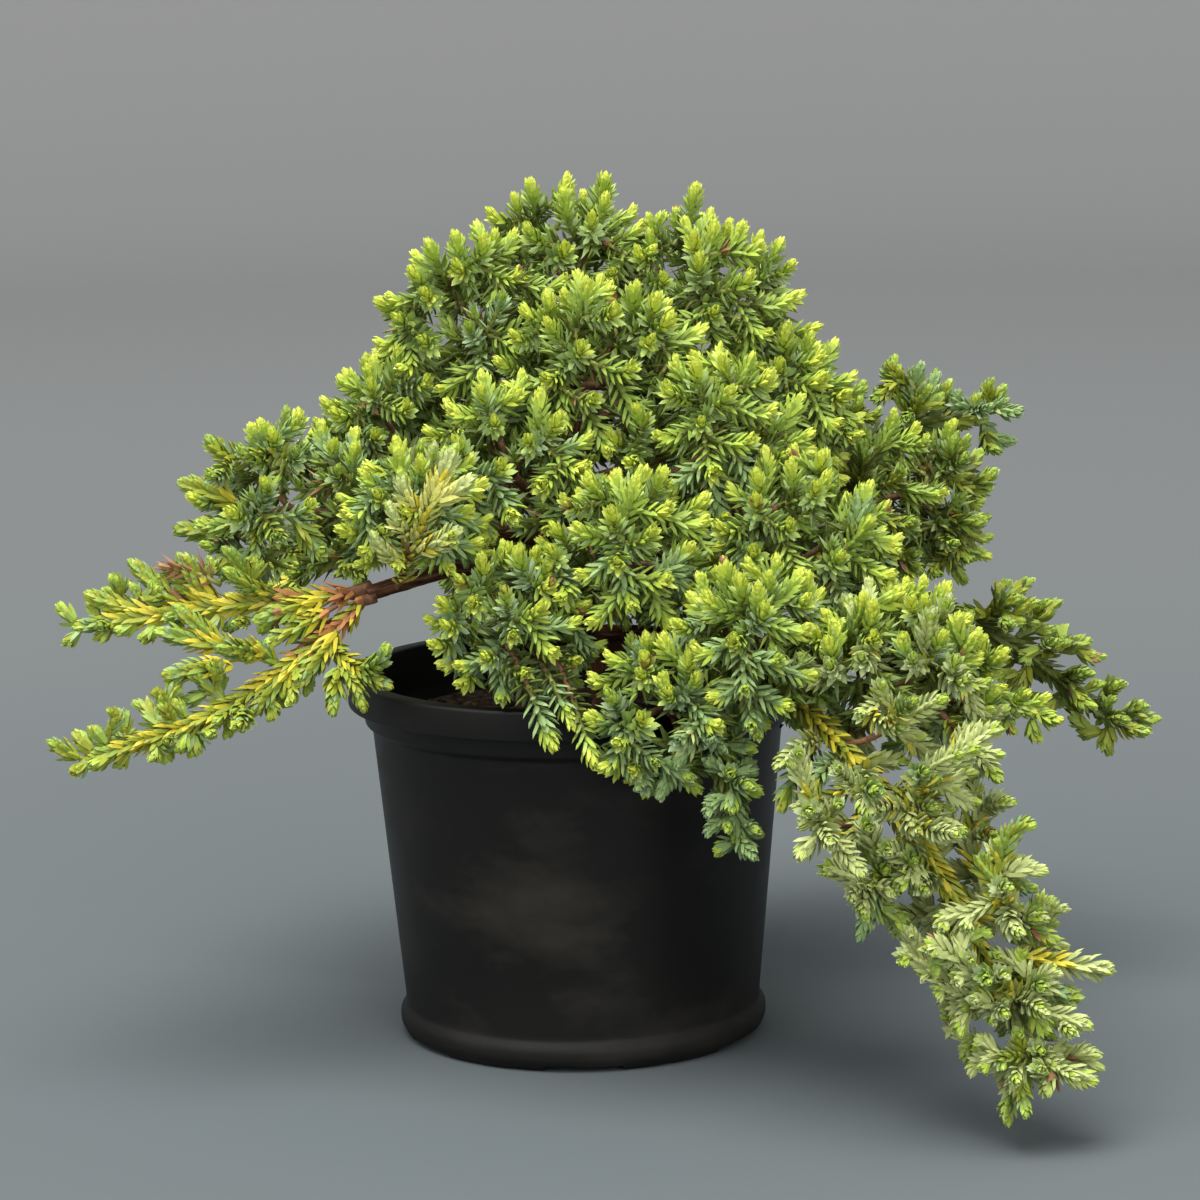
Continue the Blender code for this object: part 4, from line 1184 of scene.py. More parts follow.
def needle_mesh(name, bent, rings):
    """A needle of length 1 and width 1 along Z, with its face towards -Y."""
    verts = [(0.0, 0.0, 0.0)]
    for height, wide in rings:
        lean = bent * height * height
        verts += [(-wide / 2, lean, height), (wide / 2, lean, height),
                  (0.0, lean + NEEDLE_BACK * wide, height)]
    verts.append((0.0, bent, 1.0))
    tip = len(verts) - 1
    faces, band = [], []
    for corner in range(3):
        after = (corner + 1) % 3
        faces.append((0, 1 + after, 1 + corner))
        band.append(False)
        for ring in range(len(rings) - 1):
            low, high = 1 + 3 * ring, 4 + 3 * ring
            faces.append((low + corner, low + after, high + after, high + corner))
            band.append(corner == 0)
        faces.append((tip - 3 + corner, tip - 3 + after, tip))
        band.append(corner == 0)
    mesh = bpy.data.meshes.new(name)
    mesh.from_pydata(verts, [], faces)
    mesh.attributes.new("band", "BOOLEAN", "FACE").data.foreach_set("value", band)
    mesh.update()
    return mesh


needle_shapes = bpy.data.collections.new("needle_shapes")
for name, bent in NEEDLE_BENDS.items():
    needle_shapes.objects.link(bpy.data.objects.new(name, needle_mesh(name, bent, NEEDLE_RINGS)))
for name, bent in NEEDLE_BENDS.items():
    old_name = name.replace("awl", "old")
    needle_shapes.objects.link(bpy.data.objects.new(old_name, needle_mesh(old_name, bent, OLD_RINGS)))
for shape in needle_shapes.objects:
    print(shape.name, "triangles:", sum(len(face.vertices) - 2 for face in shape.data.polygons))

# %% [markdown]
# ## The finish of the needles
#
# Needles are slightly glossy. Each is so small in the picture that a pattern
# on it wouldn't show: what shows is which needles are which colour. So a tint
# is a plain colour, once for the back of the needle and once, paler and
# bluer, for its waxy face, and the tints are dealt out by shoot.

# %% Needle colours
WAX = (0.55, 0.68, 0.46)
WAXY = {"lime": 0.08, "fresh": 0.16, "leaf": 0.26, "blue": 0.36, "deep": 0.10, "yellow": 0.10,
        "moss": 0.16, "grey": 0.32, "cream": 0.16, "brown": 0.0, "scale": 0.0, "withered": 0.0}


def needle_finish(name, colour, gloss):
    finish = Finish(name, Base_Color=colour, Roughness=gloss, Specular_IOR_Level=0.35)
    return finish.material


needle_finishes = []
for name, colour in TINTS.items():
    pale = tuple(between(c, w, WAXY[name]) for c, w in zip(colour, WAX))
    needle_finishes.append((needle_finish("needle_" + name, colour, 0.48),
                            needle_finish("needle_face_" + name, pale, 0.62)))
print(2 * len(needle_finishes), "needle materials")

# %% The tree that puts needles on whorls
def needle_tree():
    tree = Maker("needle_whorls", {"Needles in a whorl": 3, "Turn jitter": 0.28, "Lean jitter": 0.13,
                                   "Length jitter": 0.12, "Seed": 11})
    points = tree.add("GeometryNodeMeshToPoints", {}, {"Mesh": tree.given(), "Radius": 0.001})
    copies = tree.add("GeometryNodeDuplicateElements", {"domain": "POINT"},
                      {"Geometry": points, "Amount": tree.given("Needles in a whorl")})
    rank = copies.out("Duplicate Index")
    step = 2 * math.pi / 3

    def jitter(label, offset):
        size = tree.given(label)
        roll = tree.add("FunctionNodeRandomValue", {"data_type": "FLOAT"},
                        {"Min": -1.0, "Max": 1.0, "Seed": tree.given("Seed") + offset})
        return roll.out() * size

    turn = tree.attribute("turn") + rank * step + jitter("Turn jitter", 1)
    lean = (tree.attribute("lean") + jitter("Lean jitter", 2)) * -1.0
    stem = tree.add("FunctionNodeAxesToRotation", {"primary_axis": "Z", "secondary_axis": "X"},
                    {0: tree.attribute("way", "FLOAT_VECTOR"), 1: tree.attribute("side", "FLOAT_VECTOR")})
    round_stem = tree.add("ShaderNodeCombineXYZ", {}, {"Z": turn})
    off_stem = tree.add("ShaderNodeCombineXYZ", {}, {"X": lean})
    turned = tree.add("FunctionNodeRotateRotation", {"rotation_space": "LOCAL"},
                      {0: stem, 1: tree.add("FunctionNodeEulerToRotation", {}, {0: round_stem})})
    leant = tree.add("FunctionNodeRotateRotation", {"rotation_space": "LOCAL"},
                     {0: turned, 1: tree.add("FunctionNodeEulerToRotation", {}, {0: off_stem})})
    long = tree.attribute("long") * (1.0 + jitter("Length jitter", 3))
    wide = tree.attribute("wide")
    size = tree.add("ShaderNodeCombineXYZ", {}, {"X": wide, "Y": wide, "Z": long})
    shapes = tree.add("GeometryNodeCollectionInfo", {}, {"Collection": needle_shapes,
                                                        "Separate Children": True})
    which = tree.add("FunctionNodeRandomValue", {"data_type": "INT"},
                     {"Min": 0, "Max": len(NEEDLE_BENDS) - 1, "Seed": tree.given("Seed") + 4})
    needles = tree.add("GeometryNodeInstanceOnPoints", {},
                       {"Points": copies.out("Geometry"), "Instance": shapes, "Pick Instance": True,
                        "Instance Index": which.out() + tree.attribute("old", "FLOAT") * len(NEEDLE_BENDS),
                        "Rotation": leant, "Scale": size})
    geometry = tree.add("GeometryNodeRealizeInstances", {}, {"Geometry": needles}).out()
    tint = tree.attribute("tint", "INT")
    band = tree.attribute("band", "BOOLEAN")
    for number, (back, face) in enumerate(needle_finishes):
        same = tree.add("FunctionNodeCompare", {"data_type": "INT", "operation": "EQUAL"},
                        {0: tint, 1: number}).out()
        geometry = tree.add("GeometryNodeSetMaterial", {}, {"Geometry": geometry, "Selection": same,
                                                           "Material": back}).out()
        both = tree.add("FunctionNodeBooleanMath", {"operation": "AND"}, {0: same, 1: band}).out()
        geometry = tree.add("GeometryNodeSetMaterial", {}, {"Geometry": geometry, "Selection": both,
                                                           "Material": face}).out()
    tree.finish(geometry)
    return tree


needles_on_whorls = needle_tree()
print("nodes in the needle tree:", len(needles_on_whorls.tree.nodes))

# %% Needles, piece by piece
PIECES = {
    "needles_crown": ["crown_front", "crown_left", "crown_back", "crown_right"],
    "needles_dome_front": ["dome_left", "dome_right", "dome_front_left", "dome_front_right"],
    "needles_dome_back": ["dome_back", "dome_back_left", "dome_back_right", "right_back"],
    "needles_front": ["front_centre", "front_right", "front_left", "front_low", "front_mid", "right_front"],
    "needles_left": ["left_middle", "left_near", "spray_left_low", "spray_left_high"],
    "needles_right": ["spray_droop", "spray_hang", "spray_right_small", "spray_right_high",
                      "spray_right_low"],
    "needles_back": ["back_low_left", "back_low_right", "spray_back_right", "spray_back",
                     "spray_back_left"],
}
WHORL_FIELDS = (("way", 3, 3), ("side", 6, 3), ("turn", 9, 1), ("lean", 10, 1), ("long", 11, 1),
                  ("wide", 12, 1), ("tint", 13, 0), ("old", 14, 1))


def whorl_source(rows):
    """A mesh of loose points, one for each whorl, with its fields."""
    data = np.array(rows, float)
    mesh = bpy.data.meshes.new("whorls")
    mesh.vertices.add(len(data))
    mesh.vertices.foreach_set("co", (data[:, :3] * MM).ravel())
    for name, column, size in WHORL_FIELDS:
        kind = {0: "INT", 1: "FLOAT", 3: "FLOAT_VECTOR"}[size]
        values = data[:, column:column + max(1, size)]
        if name in ("long", "wide"):
            values = values * MM
        attribute = mesh.attributes.new(name, kind, "POINT")
        if kind == "INT":
            attribute.data.foreach_set("value", values.astype(int).ravel())
        else:
            attribute.data.foreach_set("vector" if size == 3 else "value", values.ravel())
    return linked("whorls", mesh)


def drop_fields(mesh):
    """Removes the working fields and the material slots that no face uses."""
    for name in [a.name for a in mesh.attributes if not a.is_internal and not a.is_required]:
        if name not in ("material_index", "sharp_face", "UVMap"):
            mesh.attributes.remove(mesh.attributes[name])
    used = np.zeros(len(mesh.polygons), int)
    mesh.polygons.foreach_get("material_index", used)
    kept = sorted(set(used.tolist()))
    finishes = [mesh.materials[index] for index in kept]
    where = np.zeros(max(kept) + 1, int)
    where[kept] = np.arange(len(kept))
    mesh.materials.clear()
    for finish in finishes:
        mesh.materials.append(finish)
    mesh.polygons.foreach_set("material_index", where[used])


def triangles(mesh):
    return sum(len(face.vertices) - 2 for face in mesh.polygons)


total = 0
for name, members in PIECES.items():
    rows = [row for member in members for row in whorls[member]]
    piece = made_by(needles_on_whorls, name, whorl_source(rows))
    drop_fields(piece.data)
    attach(piece, "root")
    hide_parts(*members)
    count = triangles(piece.data)
    total += count
    print(name, count, "triangles,", len(piece.data.materials), "materials")
print("triangles in all needles:", total)

# %% [markdown]
# ## Twigs
#
# Under the needles each shoot has a thin stem: green where it is young, brown
# where it is old. A path with a radius at each point is all that a tree needs
# to sweep a small circle along it, so the twigs are one source mesh of edges.

# %% Paths into a source mesh
def path_source(name, paths):
    """A mesh of edges with a radius and a length along at each point."""
    verts, edges, radii, along = [], [], [], []
    for path, radius in paths:
        first = len(verts)
        verts += [tuple(point * MM) for point in path]
        edges += [(first + step, first + step + 1) for step in range(len(path) - 1)]
        radii += list(np.array(radius) * MM)
        along += list(lengths(path) * MM)
    mesh = bpy.data.meshes.new(name)
    mesh.from_pydata(verts, edges, [])
    mesh.attributes.new("radius_here", "FLOAT", "POINT").data.foreach_set("value", radii)
    mesh.attributes.new("along_here", "FLOAT", "POINT").data.foreach_set("value", along)
    return linked(name, mesh)


def thinned(path, step):
    total = lengths(path)[-1]
    return sampled(path, np.linspace(0, total, max(4, int(total / step) + 1)))[0]


YOUNG_LENGTH = 15.0
young, old = [], []
for shoot in shoots:
    path = thinned(shoot.path, 2.2)
    left = lengths(path)[-1] - lengths(path)
    radius = np.interp(left, [0, 3, 15, 40], [0.35, 0.62, 0.75, 0.95])
    split = int(np.searchsorted(-left, -YOUNG_LENGTH)) if left[0] > YOUNG_LENGTH else 0
    if split > 1:
        old.append((path[:split + 1], radius[:split + 1]))
    young.append((path[max(0, split):], radius[max(0, split):]))
for mass in masses:
    path = thinned(space.stems[mass.name].path, 1.6)
    root_way = unit(path[1] - path[0])
    path = np.vstack([path[0] - root_way * 2.0, path])
    thick = 1.8 if mass.axis else 1.4
    radius = np.interp(lengths(path), [0, 12, 30, 200], [thick, 1.25, 1.0, 0.6])
    if mass.axis is None:
        old.append((path, radius))
    else:
        split = len(path) // 3
        old.append((path[:split + 1], radius[:split + 1]))
        young.append((path[split:], radius[split:]))
print(len(young), "green stems,", len(old), "brown twigs")

# %% Stem finishes
stem_green = Finish("stem_green", Base_Color=(0.20, 0.25, 0.05), Roughness=0.55)
stem_patch = stem_green.noise(stem_green.place(900.0), 1.0)
stem_green.set("Base Color", stem_green.ramp(stem_patch, [(0.3, (0.15, 0.20, 0.04)), (0.7, (0.30, 0.28, 0.06))]))
twig_brown = Finish("twig_brown", Base_Color=(0.16, 0.075, 0.035), Roughness=0.8)
twig_patch = twig_brown.noise(twig_brown.place(700.0), 1.0, 4.0)
twig_brown.set("Base Color", twig_brown.ramp(twig_patch, [(0.3, (0.09, 0.035, 0.018)), (0.7, (0.26, 0.13, 0.06))]))

# %% The tree that sweeps twigs
def twig_tree(finish):
    tree = Maker("twigs_from_paths", {"Sides": 5, "Thickness": 1.0})
    curve = tree.add("GeometryNodeMeshToCurve", {}, {"Mesh": tree.given()})
    ring = tree.add("GeometryNodeCurvePrimitiveCircle", {"mode": "RADIUS"},
                    {"Resolution": tree.given("Sides"), "Radius": 1.0})
    thick = tree.attribute("radius_here") * tree.given("Thickness")
    swept = tree.add("GeometryNodeCurveToMesh", {},
                     {"Curve": curve, "Profile Curve": ring, "Scale": thick, "Fill Caps": True})
    smooth = tree.add("GeometryNodeSetShadeSmooth", {}, {"Geometry": swept})
    whole = tree.add("GeometryNodeRealizeInstances", {}, {"Geometry": smooth})
    tree.finish(tree.add("GeometryNodeSetMaterial", {}, {"Geometry": whole, "Material": finish.material}).out())
    return tree


for name, paths, finish in (("stems_green", young, stem_green), ("twigs_brown", old, twig_brown)):
    piece = made_by(twig_tree(finish), name, path_source(name + "_paths", paths), {"Sides": 5})
    drop_fields(piece.data)
    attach(piece, "root")
    "needles" if name == "stems_green" else "bark"
    print(name, triangles(piece.data), "triangles")

# %% [markdown]
# ## Bark on the trunk and boughs
#
# Juniper bark is thin and reddish brown and peels in long strips. Each limb is
# swept as the twigs are, with many more faces, and a noise that is drawn out
# along the limb pushes the surface in and out. The place on the bark, round
# and along, is kept as a field, so the finish follows the same strips.

# %% Bark finish
bark = Finish("juniper_bark", Base_Color=(0.20, 0.09, 0.045), Roughness=0.85, Specular_IOR_Level=0.25)
bark_place = bark.add("ShaderNodeAttribute", {"attribute_name": "bark_place"}, {}).out("Vector")
bark_strips = bark.noise(bark_place, 1.0, 5.0, 0.6)
bark_spots = bark.noise(bark.place(260.0), 1.0, 3.0)
bark_colour = bark.ramp(bark_strips, [(0.30, (0.030, 0.013, 0.008)), (0.48, (0.10, 0.040, 0.022)),
                                      (0.62, (0.21, 0.10, 0.058)), (0.78, (0.34, 0.23, 0.16))])
bark_dull = bark.ramp(bark_spots, [(0.35, (0.75, 0.72, 0.70)), (0.65, (1.1, 1.05, 1.0))])
bark.set("Base Color", bark.blend(1.0, bark_colour, bark_dull, "MULTIPLY"))
bark.set("Roughness", 0.95 - 0.25 * bark_strips)
bark.set("Normal", bark.bump(bark_strips, 0.7, 0.0004))

# %% The tree that sweeps and carves a limb
def limb_tree():
    tree = Maker("bark_limbs", {"Sides": 20, "Step": 0.0006, "Relief": 0.0007, "Strips": 1.0})
    curve = tree.add("GeometryNodeMeshToCurve", {}, {"Mesh": tree.given()})
    fine = tree.add("GeometryNodeResampleCurve", {"mode": "LENGTH"},
                    {"Curve": curve, "Length": tree.given("Step")})
    ring = tree.add("GeometryNodeCurvePrimitiveCircle", {"mode": "RADIUS"},
                    {"Resolution": tree.given("Sides"), "Radius": 1.0})
    spoke = tree.add("GeometryNodeInputPosition", {}, {})
    marked = tree.add("GeometryNodeStoreNamedAttribute", {"data_type": "FLOAT_VECTOR", "domain": "POINT"},
                      {"Geometry": ring, "Name": "spoke", "Value": spoke})
    swept = tree.add("GeometryNodeCurveToMesh", {},
                     {"Curve": fine, "Profile Curve": marked, "Scale": tree.attribute("radius_here"),
                      "Fill Caps": True})
    along = tree.attribute("along_here") * 130.0
    lift = tree.add("ShaderNodeCombineXYZ", {}, {"X": along * 0.0, "Y": along * 0.35, "Z": along})
    wide = tree.vector("MULTIPLY", tree.attribute("spoke", "FLOAT_VECTOR"), (2.3, 2.3, 0.0))
    here = tree.vector("ADD", wide, lift)
    kept = tree.add("GeometryNodeStoreNamedAttribute", {"data_type": "FLOAT_VECTOR", "domain": "POINT"},
                    {"Geometry": swept, "Name": "bark_place", "Value": here})
    carve = tree.add("ShaderNodeTexNoise", {}, {"Vector": here, "Scale": tree.given("Strips"), "Detail": 5.0,
                                                "Roughness": 0.6}).out("Fac")
    out = tree.add("GeometryNodeInputNormal", {}, {})
    amount = (carve - 0.5) * 2.0 * tree.given("Relief")
    push = tree.add("ShaderNodeVectorMath", {"operation": "SCALE"}, {"Vector": out, "Scale": amount})
    carved = tree.add("GeometryNodeSetPosition", {}, {"Geometry": kept, "Offset": push})
    smooth = tree.add("GeometryNodeSetShadeSmooth", {}, {"Geometry": carved})
    whole = tree.add("GeometryNodeRealizeInstances", {}, {"Geometry": smooth})
    tree.finish(tree.add("GeometryNodeSetMaterial", {}, {"Geometry": whole, "Material": bark.material}).out())
    return tree


def limb_paths(names):
    paths = []
    for name in names:
        limb = limbs[name]
        total = lengths(limb.path)[-1]
        marks = np.linspace(0, total, int(total / 1.0) + 2)
        radii = np.interp(marks, lengths(limb.path), limb.radii)
        paths.append((sampled(limb.path, marks)[0], radii))
    return paths


limb_maker = limb_tree()
for name, members, sizes in (
        ("trunk_bark", ["trunk"], {"Sides": 36, "Step": 0.0005, "Relief": 0.0009}),
        ("bough_bark", list(BOUGHS), {"Sides": 18, "Step": 0.0007, "Relief": 0.0005})):
    piece = made_by(limb_maker, name, path_source(name + "_paths", limb_paths(members)), sizes)
    for field in ("along_here", "radius_here", "spoke"):
        if field in piece.data.attributes:
            piece.data.attributes.remove(piece.data.attributes[field])
    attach(piece, "root")
    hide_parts(*members)
    print(name, triangles(piece.data), "triangles")

# %% [markdown]
# ## The pot
#
# The frame's pot has flat sides, as it has to stay light. The real one is
# turned, so the same profile is swept again with rounded lips and many more
# steps, and the same slots and drains are cut in its foot.

# %% The pot's profile
POT_STEPS = 144
NOTCH_COUNT = 6
NOTCH_WIDTH = 19.0
NOTCH_HEIGHT = 1.3
NOTCH_INSIDE = 34.0
DRAIN_RADIUS = 3.0
DRAIN_FROM_AXIS = 38.0


def pot_profile():
    """Places of the pot's section, each with the radius its corner is rounded to."""
    inside_foot = WALL_FOOT_RADIUS - POT_WALL
    skirt = POT_HEIGHT - RIM_DROP
    under_rim = POT_HEIGHT - POT_WALL - 0.3
    return [
        (0.0, POT_FLOOR, 0.0),
        (inside_foot - 0.4, POT_FLOOR, 1.0),
        (WALL_TOP_RADIUS - POT_WALL, WALL_TOP, 0.5),
        (COLLAR_RADIUS - POT_WALL, COLLAR_FOOT + 0.5, 0.6),
        (RIM_INSIDE, POT_HEIGHT - 0.3, 0.6),
        (RIM_INSIDE + 1.0, POT_HEIGHT, 0.4),
        (RIM_RADIUS - 0.2, POT_HEIGHT, 0.9),
        (RIM_RADIUS - 0.5, skirt, 0.5),
        (RIM_RADIUS - 0.5 - POT_WALL, skirt, 0.4),
        (RIM_RADIUS - POT_WALL, under_rim, 0.5),
        (COLLAR_RADIUS + 1.0, under_rim, 0.5),
        (COLLAR_RADIUS, COLLAR_FOOT, 0.5),
        (WALL_TOP_RADIUS, WALL_TOP, 0.5),
        (WALL_FOOT_RADIUS, WALL_FOOT, 0.5),
        (WALL_FOOT_RADIUS, WALL_FOOT - 1.2, 0.5),
        (BULGE_RADIUS, BULGE_HEIGHT, 1.0),
        (BULGE_RADIUS, BULGE_HEIGHT * 0.5, 1.0),
        (FOOT_RADIUS + 0.3, 0.0, 0.7),
        (0.0, 0.0, 0.0),
    ]


def rounded(section):
    """The section with each corner turned into a short arc."""
    places = [np.array(row[:2]) for row in section]
    out = [places[0]]
    for before, here, after, row in zip(places, places[1:], places[2:], section[1:]):
        back, on = before - here, after - here
        reach = min(row[2], 0.45 * np.linalg.norm(back), 0.45 * np.linalg.norm(on))
        first, last = here + unit(back) * reach, here + unit(on) * reach
        for t in (0.0, 0.33, 0.67, 1.0):
            out.append((1 - t) ** 2 * first + 2 * t * (1 - t) * here + t * t * last)
    return out + [places[-1]]


print(len(rounded(pot_profile())), "places in the pot's section")

# %% The pot's plastic
plastic = Finish("satin_black_plastic", Base_Color=(0.004, 0.0038, 0.0035), Roughness=0.42,
                 Specular_IOR_Level=0.30)
dust_soft = plastic.noise(plastic.place(22.0, (1.0, 1.0, 2.2)), 1.0, 4.0, 0.6)
dust_fine = plastic.noise(plastic.place(420.0), 1.0, 3.0, 0.6)
streaks = plastic.noise(plastic.place(120.0, (1.0, 1.0, 0.06)), 1.0, 3.0, 0.5)
height = plastic.add("ShaderNodeSeparateXYZ", {}, {"Vector": plastic.place(1.0)}).out("Z")
low = plastic.add("ShaderNodeMapRange", {"clamp": True}, {"Value": height, "From Min": 0.024,
                                                         "From Max": 0.0, "To Min": 0.0, "To Max": 1.0}).out("Result")
# Painted reflection: a soft pale patch on the front of the wall, about halfway up, lightens the colour where a glow
# of light lies.
distance_from_glow = plastic.add("ShaderNodeVectorMath", {"operation": "DISTANCE"},
                         {0: plastic.place(1.0), 1: (-0.006, -0.050, 0.040)}).out("Value")
painted_glow = plastic.add("ShaderNodeMapRange", {"clamp": True, "interpolation_type": "SMOOTHSTEP"},
                    {"Value": distance_from_glow, "From Min": 0.034, "From Max": 0.0, "To Min": 0.0, "To Max": 1.0}).out("Result")
# Real dust from the noises and at the foot, with the painted glow, lightens the colour and roughens the surface.
dust_and_painted_glow = plastic.add("ShaderNodeMapRange", {"clamp": True},
                    {"Value": dust_soft + 0.05 * low + 0.24 * painted_glow + 0.10 * dust_fine,
                     "From Min": 0.58, "From Max": 0.86,
                     "To Min": 0.0, "To Max": 0.62}).out("Result")
plastic.set("Base Color", plastic.blend(dust_and_painted_glow, (0.0036, 0.0031, 0.0024, 1.0), (0.031, 0.027, 0.020, 1.0)))
plastic.set("Roughness", 0.42 + 0.26 * dust_and_painted_glow + 0.10 * streaks + 0.26 * low)
plastic.set("Normal", plastic.bump(streaks * 0.4 + dust_fine * 0.3, 0.12, 0.0003))


# %% Turning and cutting the pot
WORN_FROM = 43.6


def worn_edge(turn):
    """How far the foot's outer edge is worn up, in millimetres."""
    wave = math.sin(7 * turn + 1.3) * math.sin(3 * turn + 0.4) + 0.5 * math.sin(23 * turn + 2.0)
    return 0.45 * max(0.0, wave)


def pot_mesh():
    mesh = bpy.data.meshes.new("nursery_pot")
    section = rounded(pot_profile())
    mesh.from_pydata([(out * MM, 0.0, up * MM) for out, up in section],
                     [(step, step + 1) for step in range(len(section) - 1)], [])
    pot = linked("nursery_pot", mesh)
    screw = pot.modifiers.new("turn", "SCREW")
    screw.steps = POT_STEPS
    screw.render_steps = POT_STEPS
    screw.use_merge_vertices = True
    screw.merge_threshold = 0.00001
    cutters = []
    for number in range(NOTCH_COUNT):
        turn = 2 * math.pi * (number + 0.5) / NOTCH_COUNT
        cutters.append(slot_cutter(turn))
        cutters.append(drain_cutter(turn))
    for cutter in cutters:
        cut = pot.modifiers.new("cut", "BOOLEAN")
        cut.operation = "DIFFERENCE"
        cut.solver = "EXACT"
        cut.object = cutter
    graph = bpy.context.evaluated_depsgraph_get()
    graph.update()
    whole = bpy.data.meshes.new_from_object(pot.evaluated_get(graph), depsgraph=graph)
    for thing in cutters + [pot]:
        bpy.data.objects.remove(thing, do_unlink=True)
    bm = bmesh.new()
    bm.from_mesh(whole)
    bmesh.ops.remove_doubles(bm, verts=bm.verts, dist=0.000002)
    for vert in bm.verts:
        out = math.hypot(vert.co.x, vert.co.y) / MM
        if out > WORN_FROM and vert.co.z < 2.2 * MM:
            vert.co.z += worn_edge(math.atan2(vert.co.y, vert.co.x)) * (1 - vert.co.z / (2.2 * MM)) * MM
    bmesh.ops.recalc_face_normals(bm, faces=bm.faces)
    bm.to_mesh(whole)
    bm.free()
    return whole


def slot_cutter(turn):
    length = BULGE_RADIUS + 4 - NOTCH_INSIDE
    middle = NOTCH_INSIDE + length / 2
    bpy.ops.mesh.primitive_cube_add(size=1)
    box = bpy.context.object
    box.scale = (length * MM, NOTCH_WIDTH * MM, 2 * NOTCH_HEIGHT * MM)
    box.rotation_euler = (0, 0, turn)
    box.location = (middle * math.cos(turn) * MM, middle * math.sin(turn) * MM, 0)
    return box


def drain_cutter(turn):
    place = (DRAIN_FROM_AXIS * math.cos(turn) * MM, DRAIN_FROM_AXIS * math.sin(turn) * MM, 0)
    bpy.ops.mesh.primitive_cylinder_add(vertices=24, radius=DRAIN_RADIUS * MM,
                                        depth=4 * POT_FLOOR * MM, location=place)
    return bpy.context.object


pot_piece = linked("nursery_pot", pot_mesh())
pot_piece.data.materials.clear()
pot_piece.data.materials.append(plastic.material)
pot_piece.data.shade_smooth()
pot_piece.data.set_sharp_from_angle(angle=math.radians(40))
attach(pot_piece, "root")
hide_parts("pot")
print("pot", triangles(pot_piece.data), "triangles")

# %% [markdown]
# ## The potting mix
#
# The frame's solid fills the pot, and it stays. What shows is its top: a dark
# crumbly layer of bark, peat and grit. A fine disc is roughened with noise,
# and Geometry Nodes scatter a few kinds of crumbs over it.

# %% Crumb shapes
CRUMBS = {"crumb_chunk": (1.0, 0.8, 0.6), "crumb_chip": (1.9, 0.8, 0.3), "crumb_grain": (0.6, 0.6, 0.5),
          "crumb_splinter": (2.9, 0.32, 0.28)}
crumb_shapes = bpy.data.collections.new("crumb_shapes")
for seed, (name, sizes) in enumerate(CRUMBS.items()):
    bm = bmesh.new()
    bmesh.ops.create_icosphere(bm, subdivisions=1, radius=1.0)
    for vert in bm.verts:
        push = between(0.62, 1.15, chance(seed + 3, vert.index))
        vert.co = [c * s * push * MM for c, s in zip(vert.co, sizes)]
    mesh = bpy.data.meshes.new(name)
    bm.to_mesh(mesh)
    bm.free()
    crumb_shapes.objects.link(bpy.data.objects.new(name, mesh))
print(len(CRUMBS), "crumb shapes")

# %% Mix finish
mix = Finish("moist_potting_mix", Base_Color=(0.03, 0.019, 0.012), Roughness=0.92, Specular_IOR_Level=0.3)
mix_patch = mix.noise(mix.place(330.0), 1.0, 4.0, 0.6)
mix.set("Base Color", mix.ramp(mix_patch, [(0.30, (0.012, 0.007, 0.005)), (0.50, (0.050, 0.030, 0.018)),
                                           (0.66, (0.14, 0.080, 0.046)), (0.80, (0.28, 0.19, 0.12))]))
mix.set("Normal", mix.bump(mix_patch, 0.5, 0.0005))
frame["nodes"]["potting_mix"].data.materials.clear()
frame["nodes"]["potting_mix"].data.materials.append(mix.material)


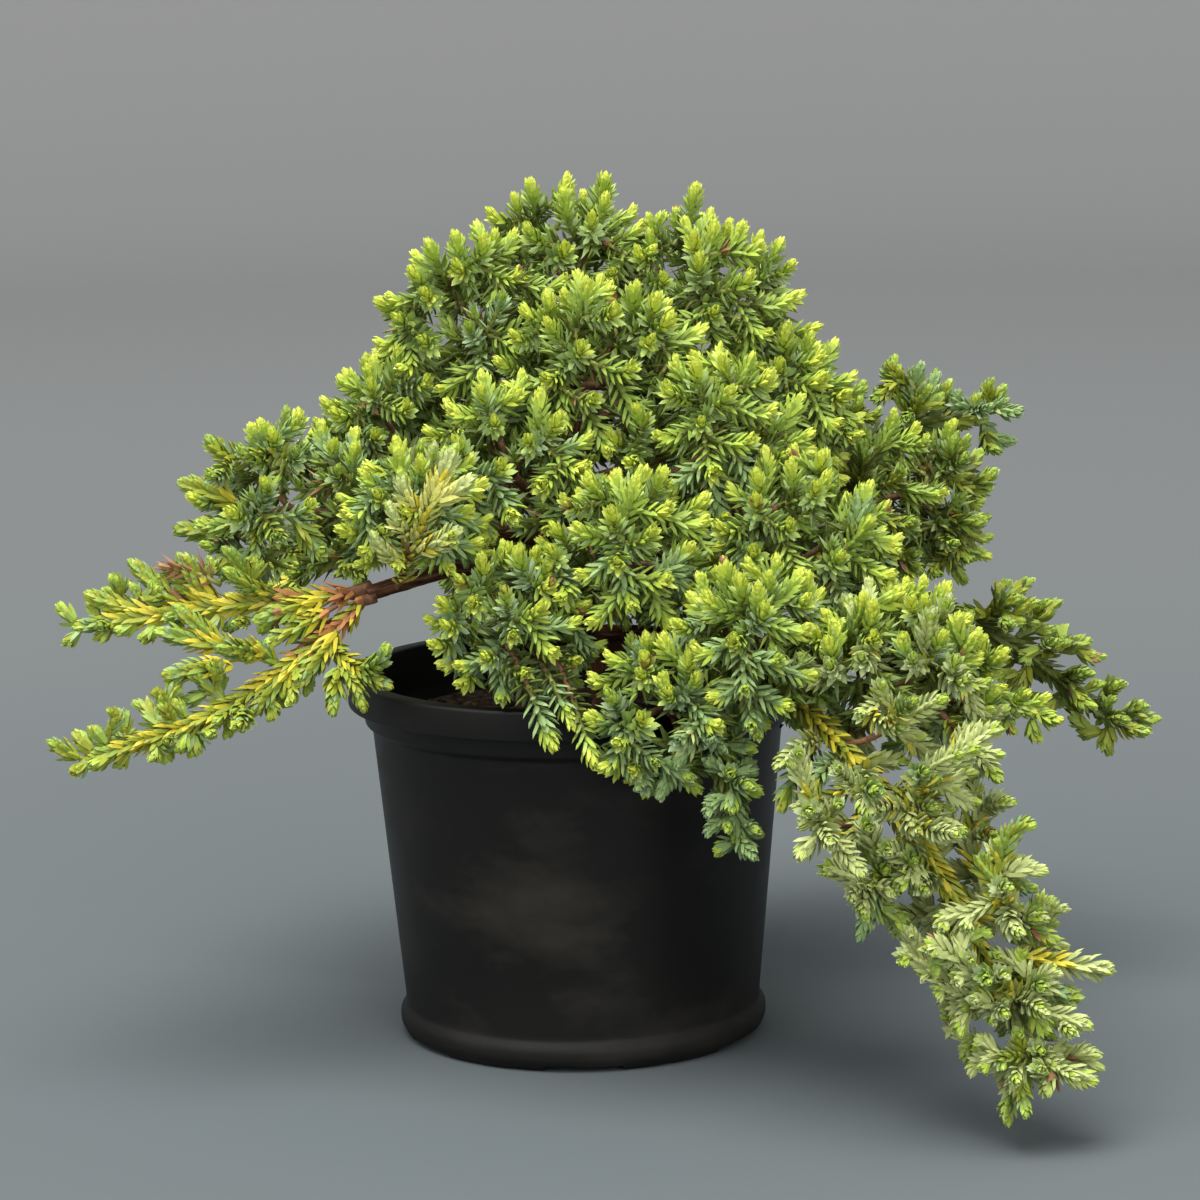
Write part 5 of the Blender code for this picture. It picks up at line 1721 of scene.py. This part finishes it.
# %% The crumbly top
def mix_tree():
    tree = Maker("crumbly_mix", {"Relief": 0.0011, "Crumbs": 90000.0, "Smallest": 0.35, "Largest": 2.1,
                                 "Seed": 5})
    here = tree.add("GeometryNodeInputPosition", {}, {})
    rough = tree.add("ShaderNodeTexNoise", {}, {"Vector": here, "Scale": 190.0, "Detail": 4.0,
                                                "Roughness": 0.6}).out("Fac")
    lift = tree.add("ShaderNodeCombineXYZ", {}, {"Z": (rough - 0.5) * 2.0 * tree.given("Relief")})
    ground = tree.add("GeometryNodeSetPosition", {}, {"Geometry": tree.given(), "Offset": lift})
    spots = tree.add("GeometryNodeDistributePointsOnFaces", {"distribute_method": "RANDOM"},
                     {"Mesh": ground, "Density": tree.given("Crumbs"), "Seed": tree.given("Seed")})
    shapes = tree.add("GeometryNodeCollectionInfo", {}, {"Collection": crumb_shapes,
                                                        "Separate Children": True})
    size = tree.add("FunctionNodeRandomValue", {"data_type": "FLOAT"},
                    {"Min": tree.given("Smallest"), "Max": tree.given("Largest"),
                     "Seed": tree.given("Seed") + 1}).out()
    turn = tree.add("FunctionNodeRandomValue", {"data_type": "FLOAT_VECTOR"},
                    {"Min": (-0.5, -0.5, 0.0), "Max": (0.5, 0.5, 6.28), "Seed": tree.given("Seed") + 2}).out()
    which = tree.add("FunctionNodeRandomValue", {"data_type": "INT"},
                     {"Min": 0, "Max": len(CRUMBS) - 1, "Seed": tree.given("Seed") + 3})
    crumbs = tree.add("GeometryNodeInstanceOnPoints", {},
                      {"Points": spots.out("Points"), "Instance": shapes, "Pick Instance": True,
                       "Instance Index": which, "Rotation": tree.add("FunctionNodeEulerToRotation", {}, {0: turn}),
                       "Scale": size})
    joined = tree.add("GeometryNodeJoinGeometry", {}, {"Geometry": ground})
    tree.tree.links.new(crumbs.out().socket, joined.node.inputs["Geometry"])
    whole = tree.add("GeometryNodeRealizeInstances", {}, {"Geometry": joined})
    tree.finish(tree.add("GeometryNodeSetMaterial", {}, {"Geometry": whole, "Material": mix.material}).out())
    return tree


def mix_top():
    """A fine disc that follows the top of the mix and dips at the wall."""
    edge = WALL_TOP_RADIUS - POT_WALL - 0.8
    rings, steps = 42, 120
    verts = [(0.0, 0.0, (SOIL_TOP + 0.1) * MM)]
    for ring in range(1, rings + 1):
        out = edge * ring / rings
        top = np.interp(out, [0, SOIL_FLAT_RADIUS, edge - 3, edge], [SOIL_TOP, SOIL_TOP, SOIL_TOP - 1.6,
                                                                    SOIL_EDGE_TOP]) + 0.1
        for step in range(steps):
            turn = 2 * math.pi * step / steps
            verts.append((out * math.cos(turn) * MM, out * math.sin(turn) * MM, top * MM))
    faces = [(0, 1 + step, 1 + (step + 1) % steps) for step in range(steps)]
    for ring in range(rings - 1):
        low, high = 1 + ring * steps, 1 + (ring + 1) * steps
        for step in range(steps):
            after = (step + 1) % steps
            faces.append((low + step, high + step, high + after, low + after))
    mesh = bpy.data.meshes.new("mix_top")
    mesh.from_pydata(verts, [], faces)
    return linked("mix_top", mesh)


crumbly = made_by(mix_tree(), "mix_crumbs", mix_top())
drop_fields(crumbly.data)
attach(crumbly, "root")
print("mix", triangles(crumbly.data), "triangles")

# %% [markdown]
# ## Sizes, and the end
#
# The frame's box and the box of the dressed model are printed side by side.
# The looks may not change the object's size.

# %% Finish
DRESSED_BOX = [list(corner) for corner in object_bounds()]
for axis, low, high, near, far in zip("XYZ", CAD_BOX[0], CAD_BOX[1], DRESSED_BOX[0], DRESSED_BOX[1]):
    print(axis, "frame", round(low, 4), round(high, 4), "dressed", round(near, 4), round(far, 4))
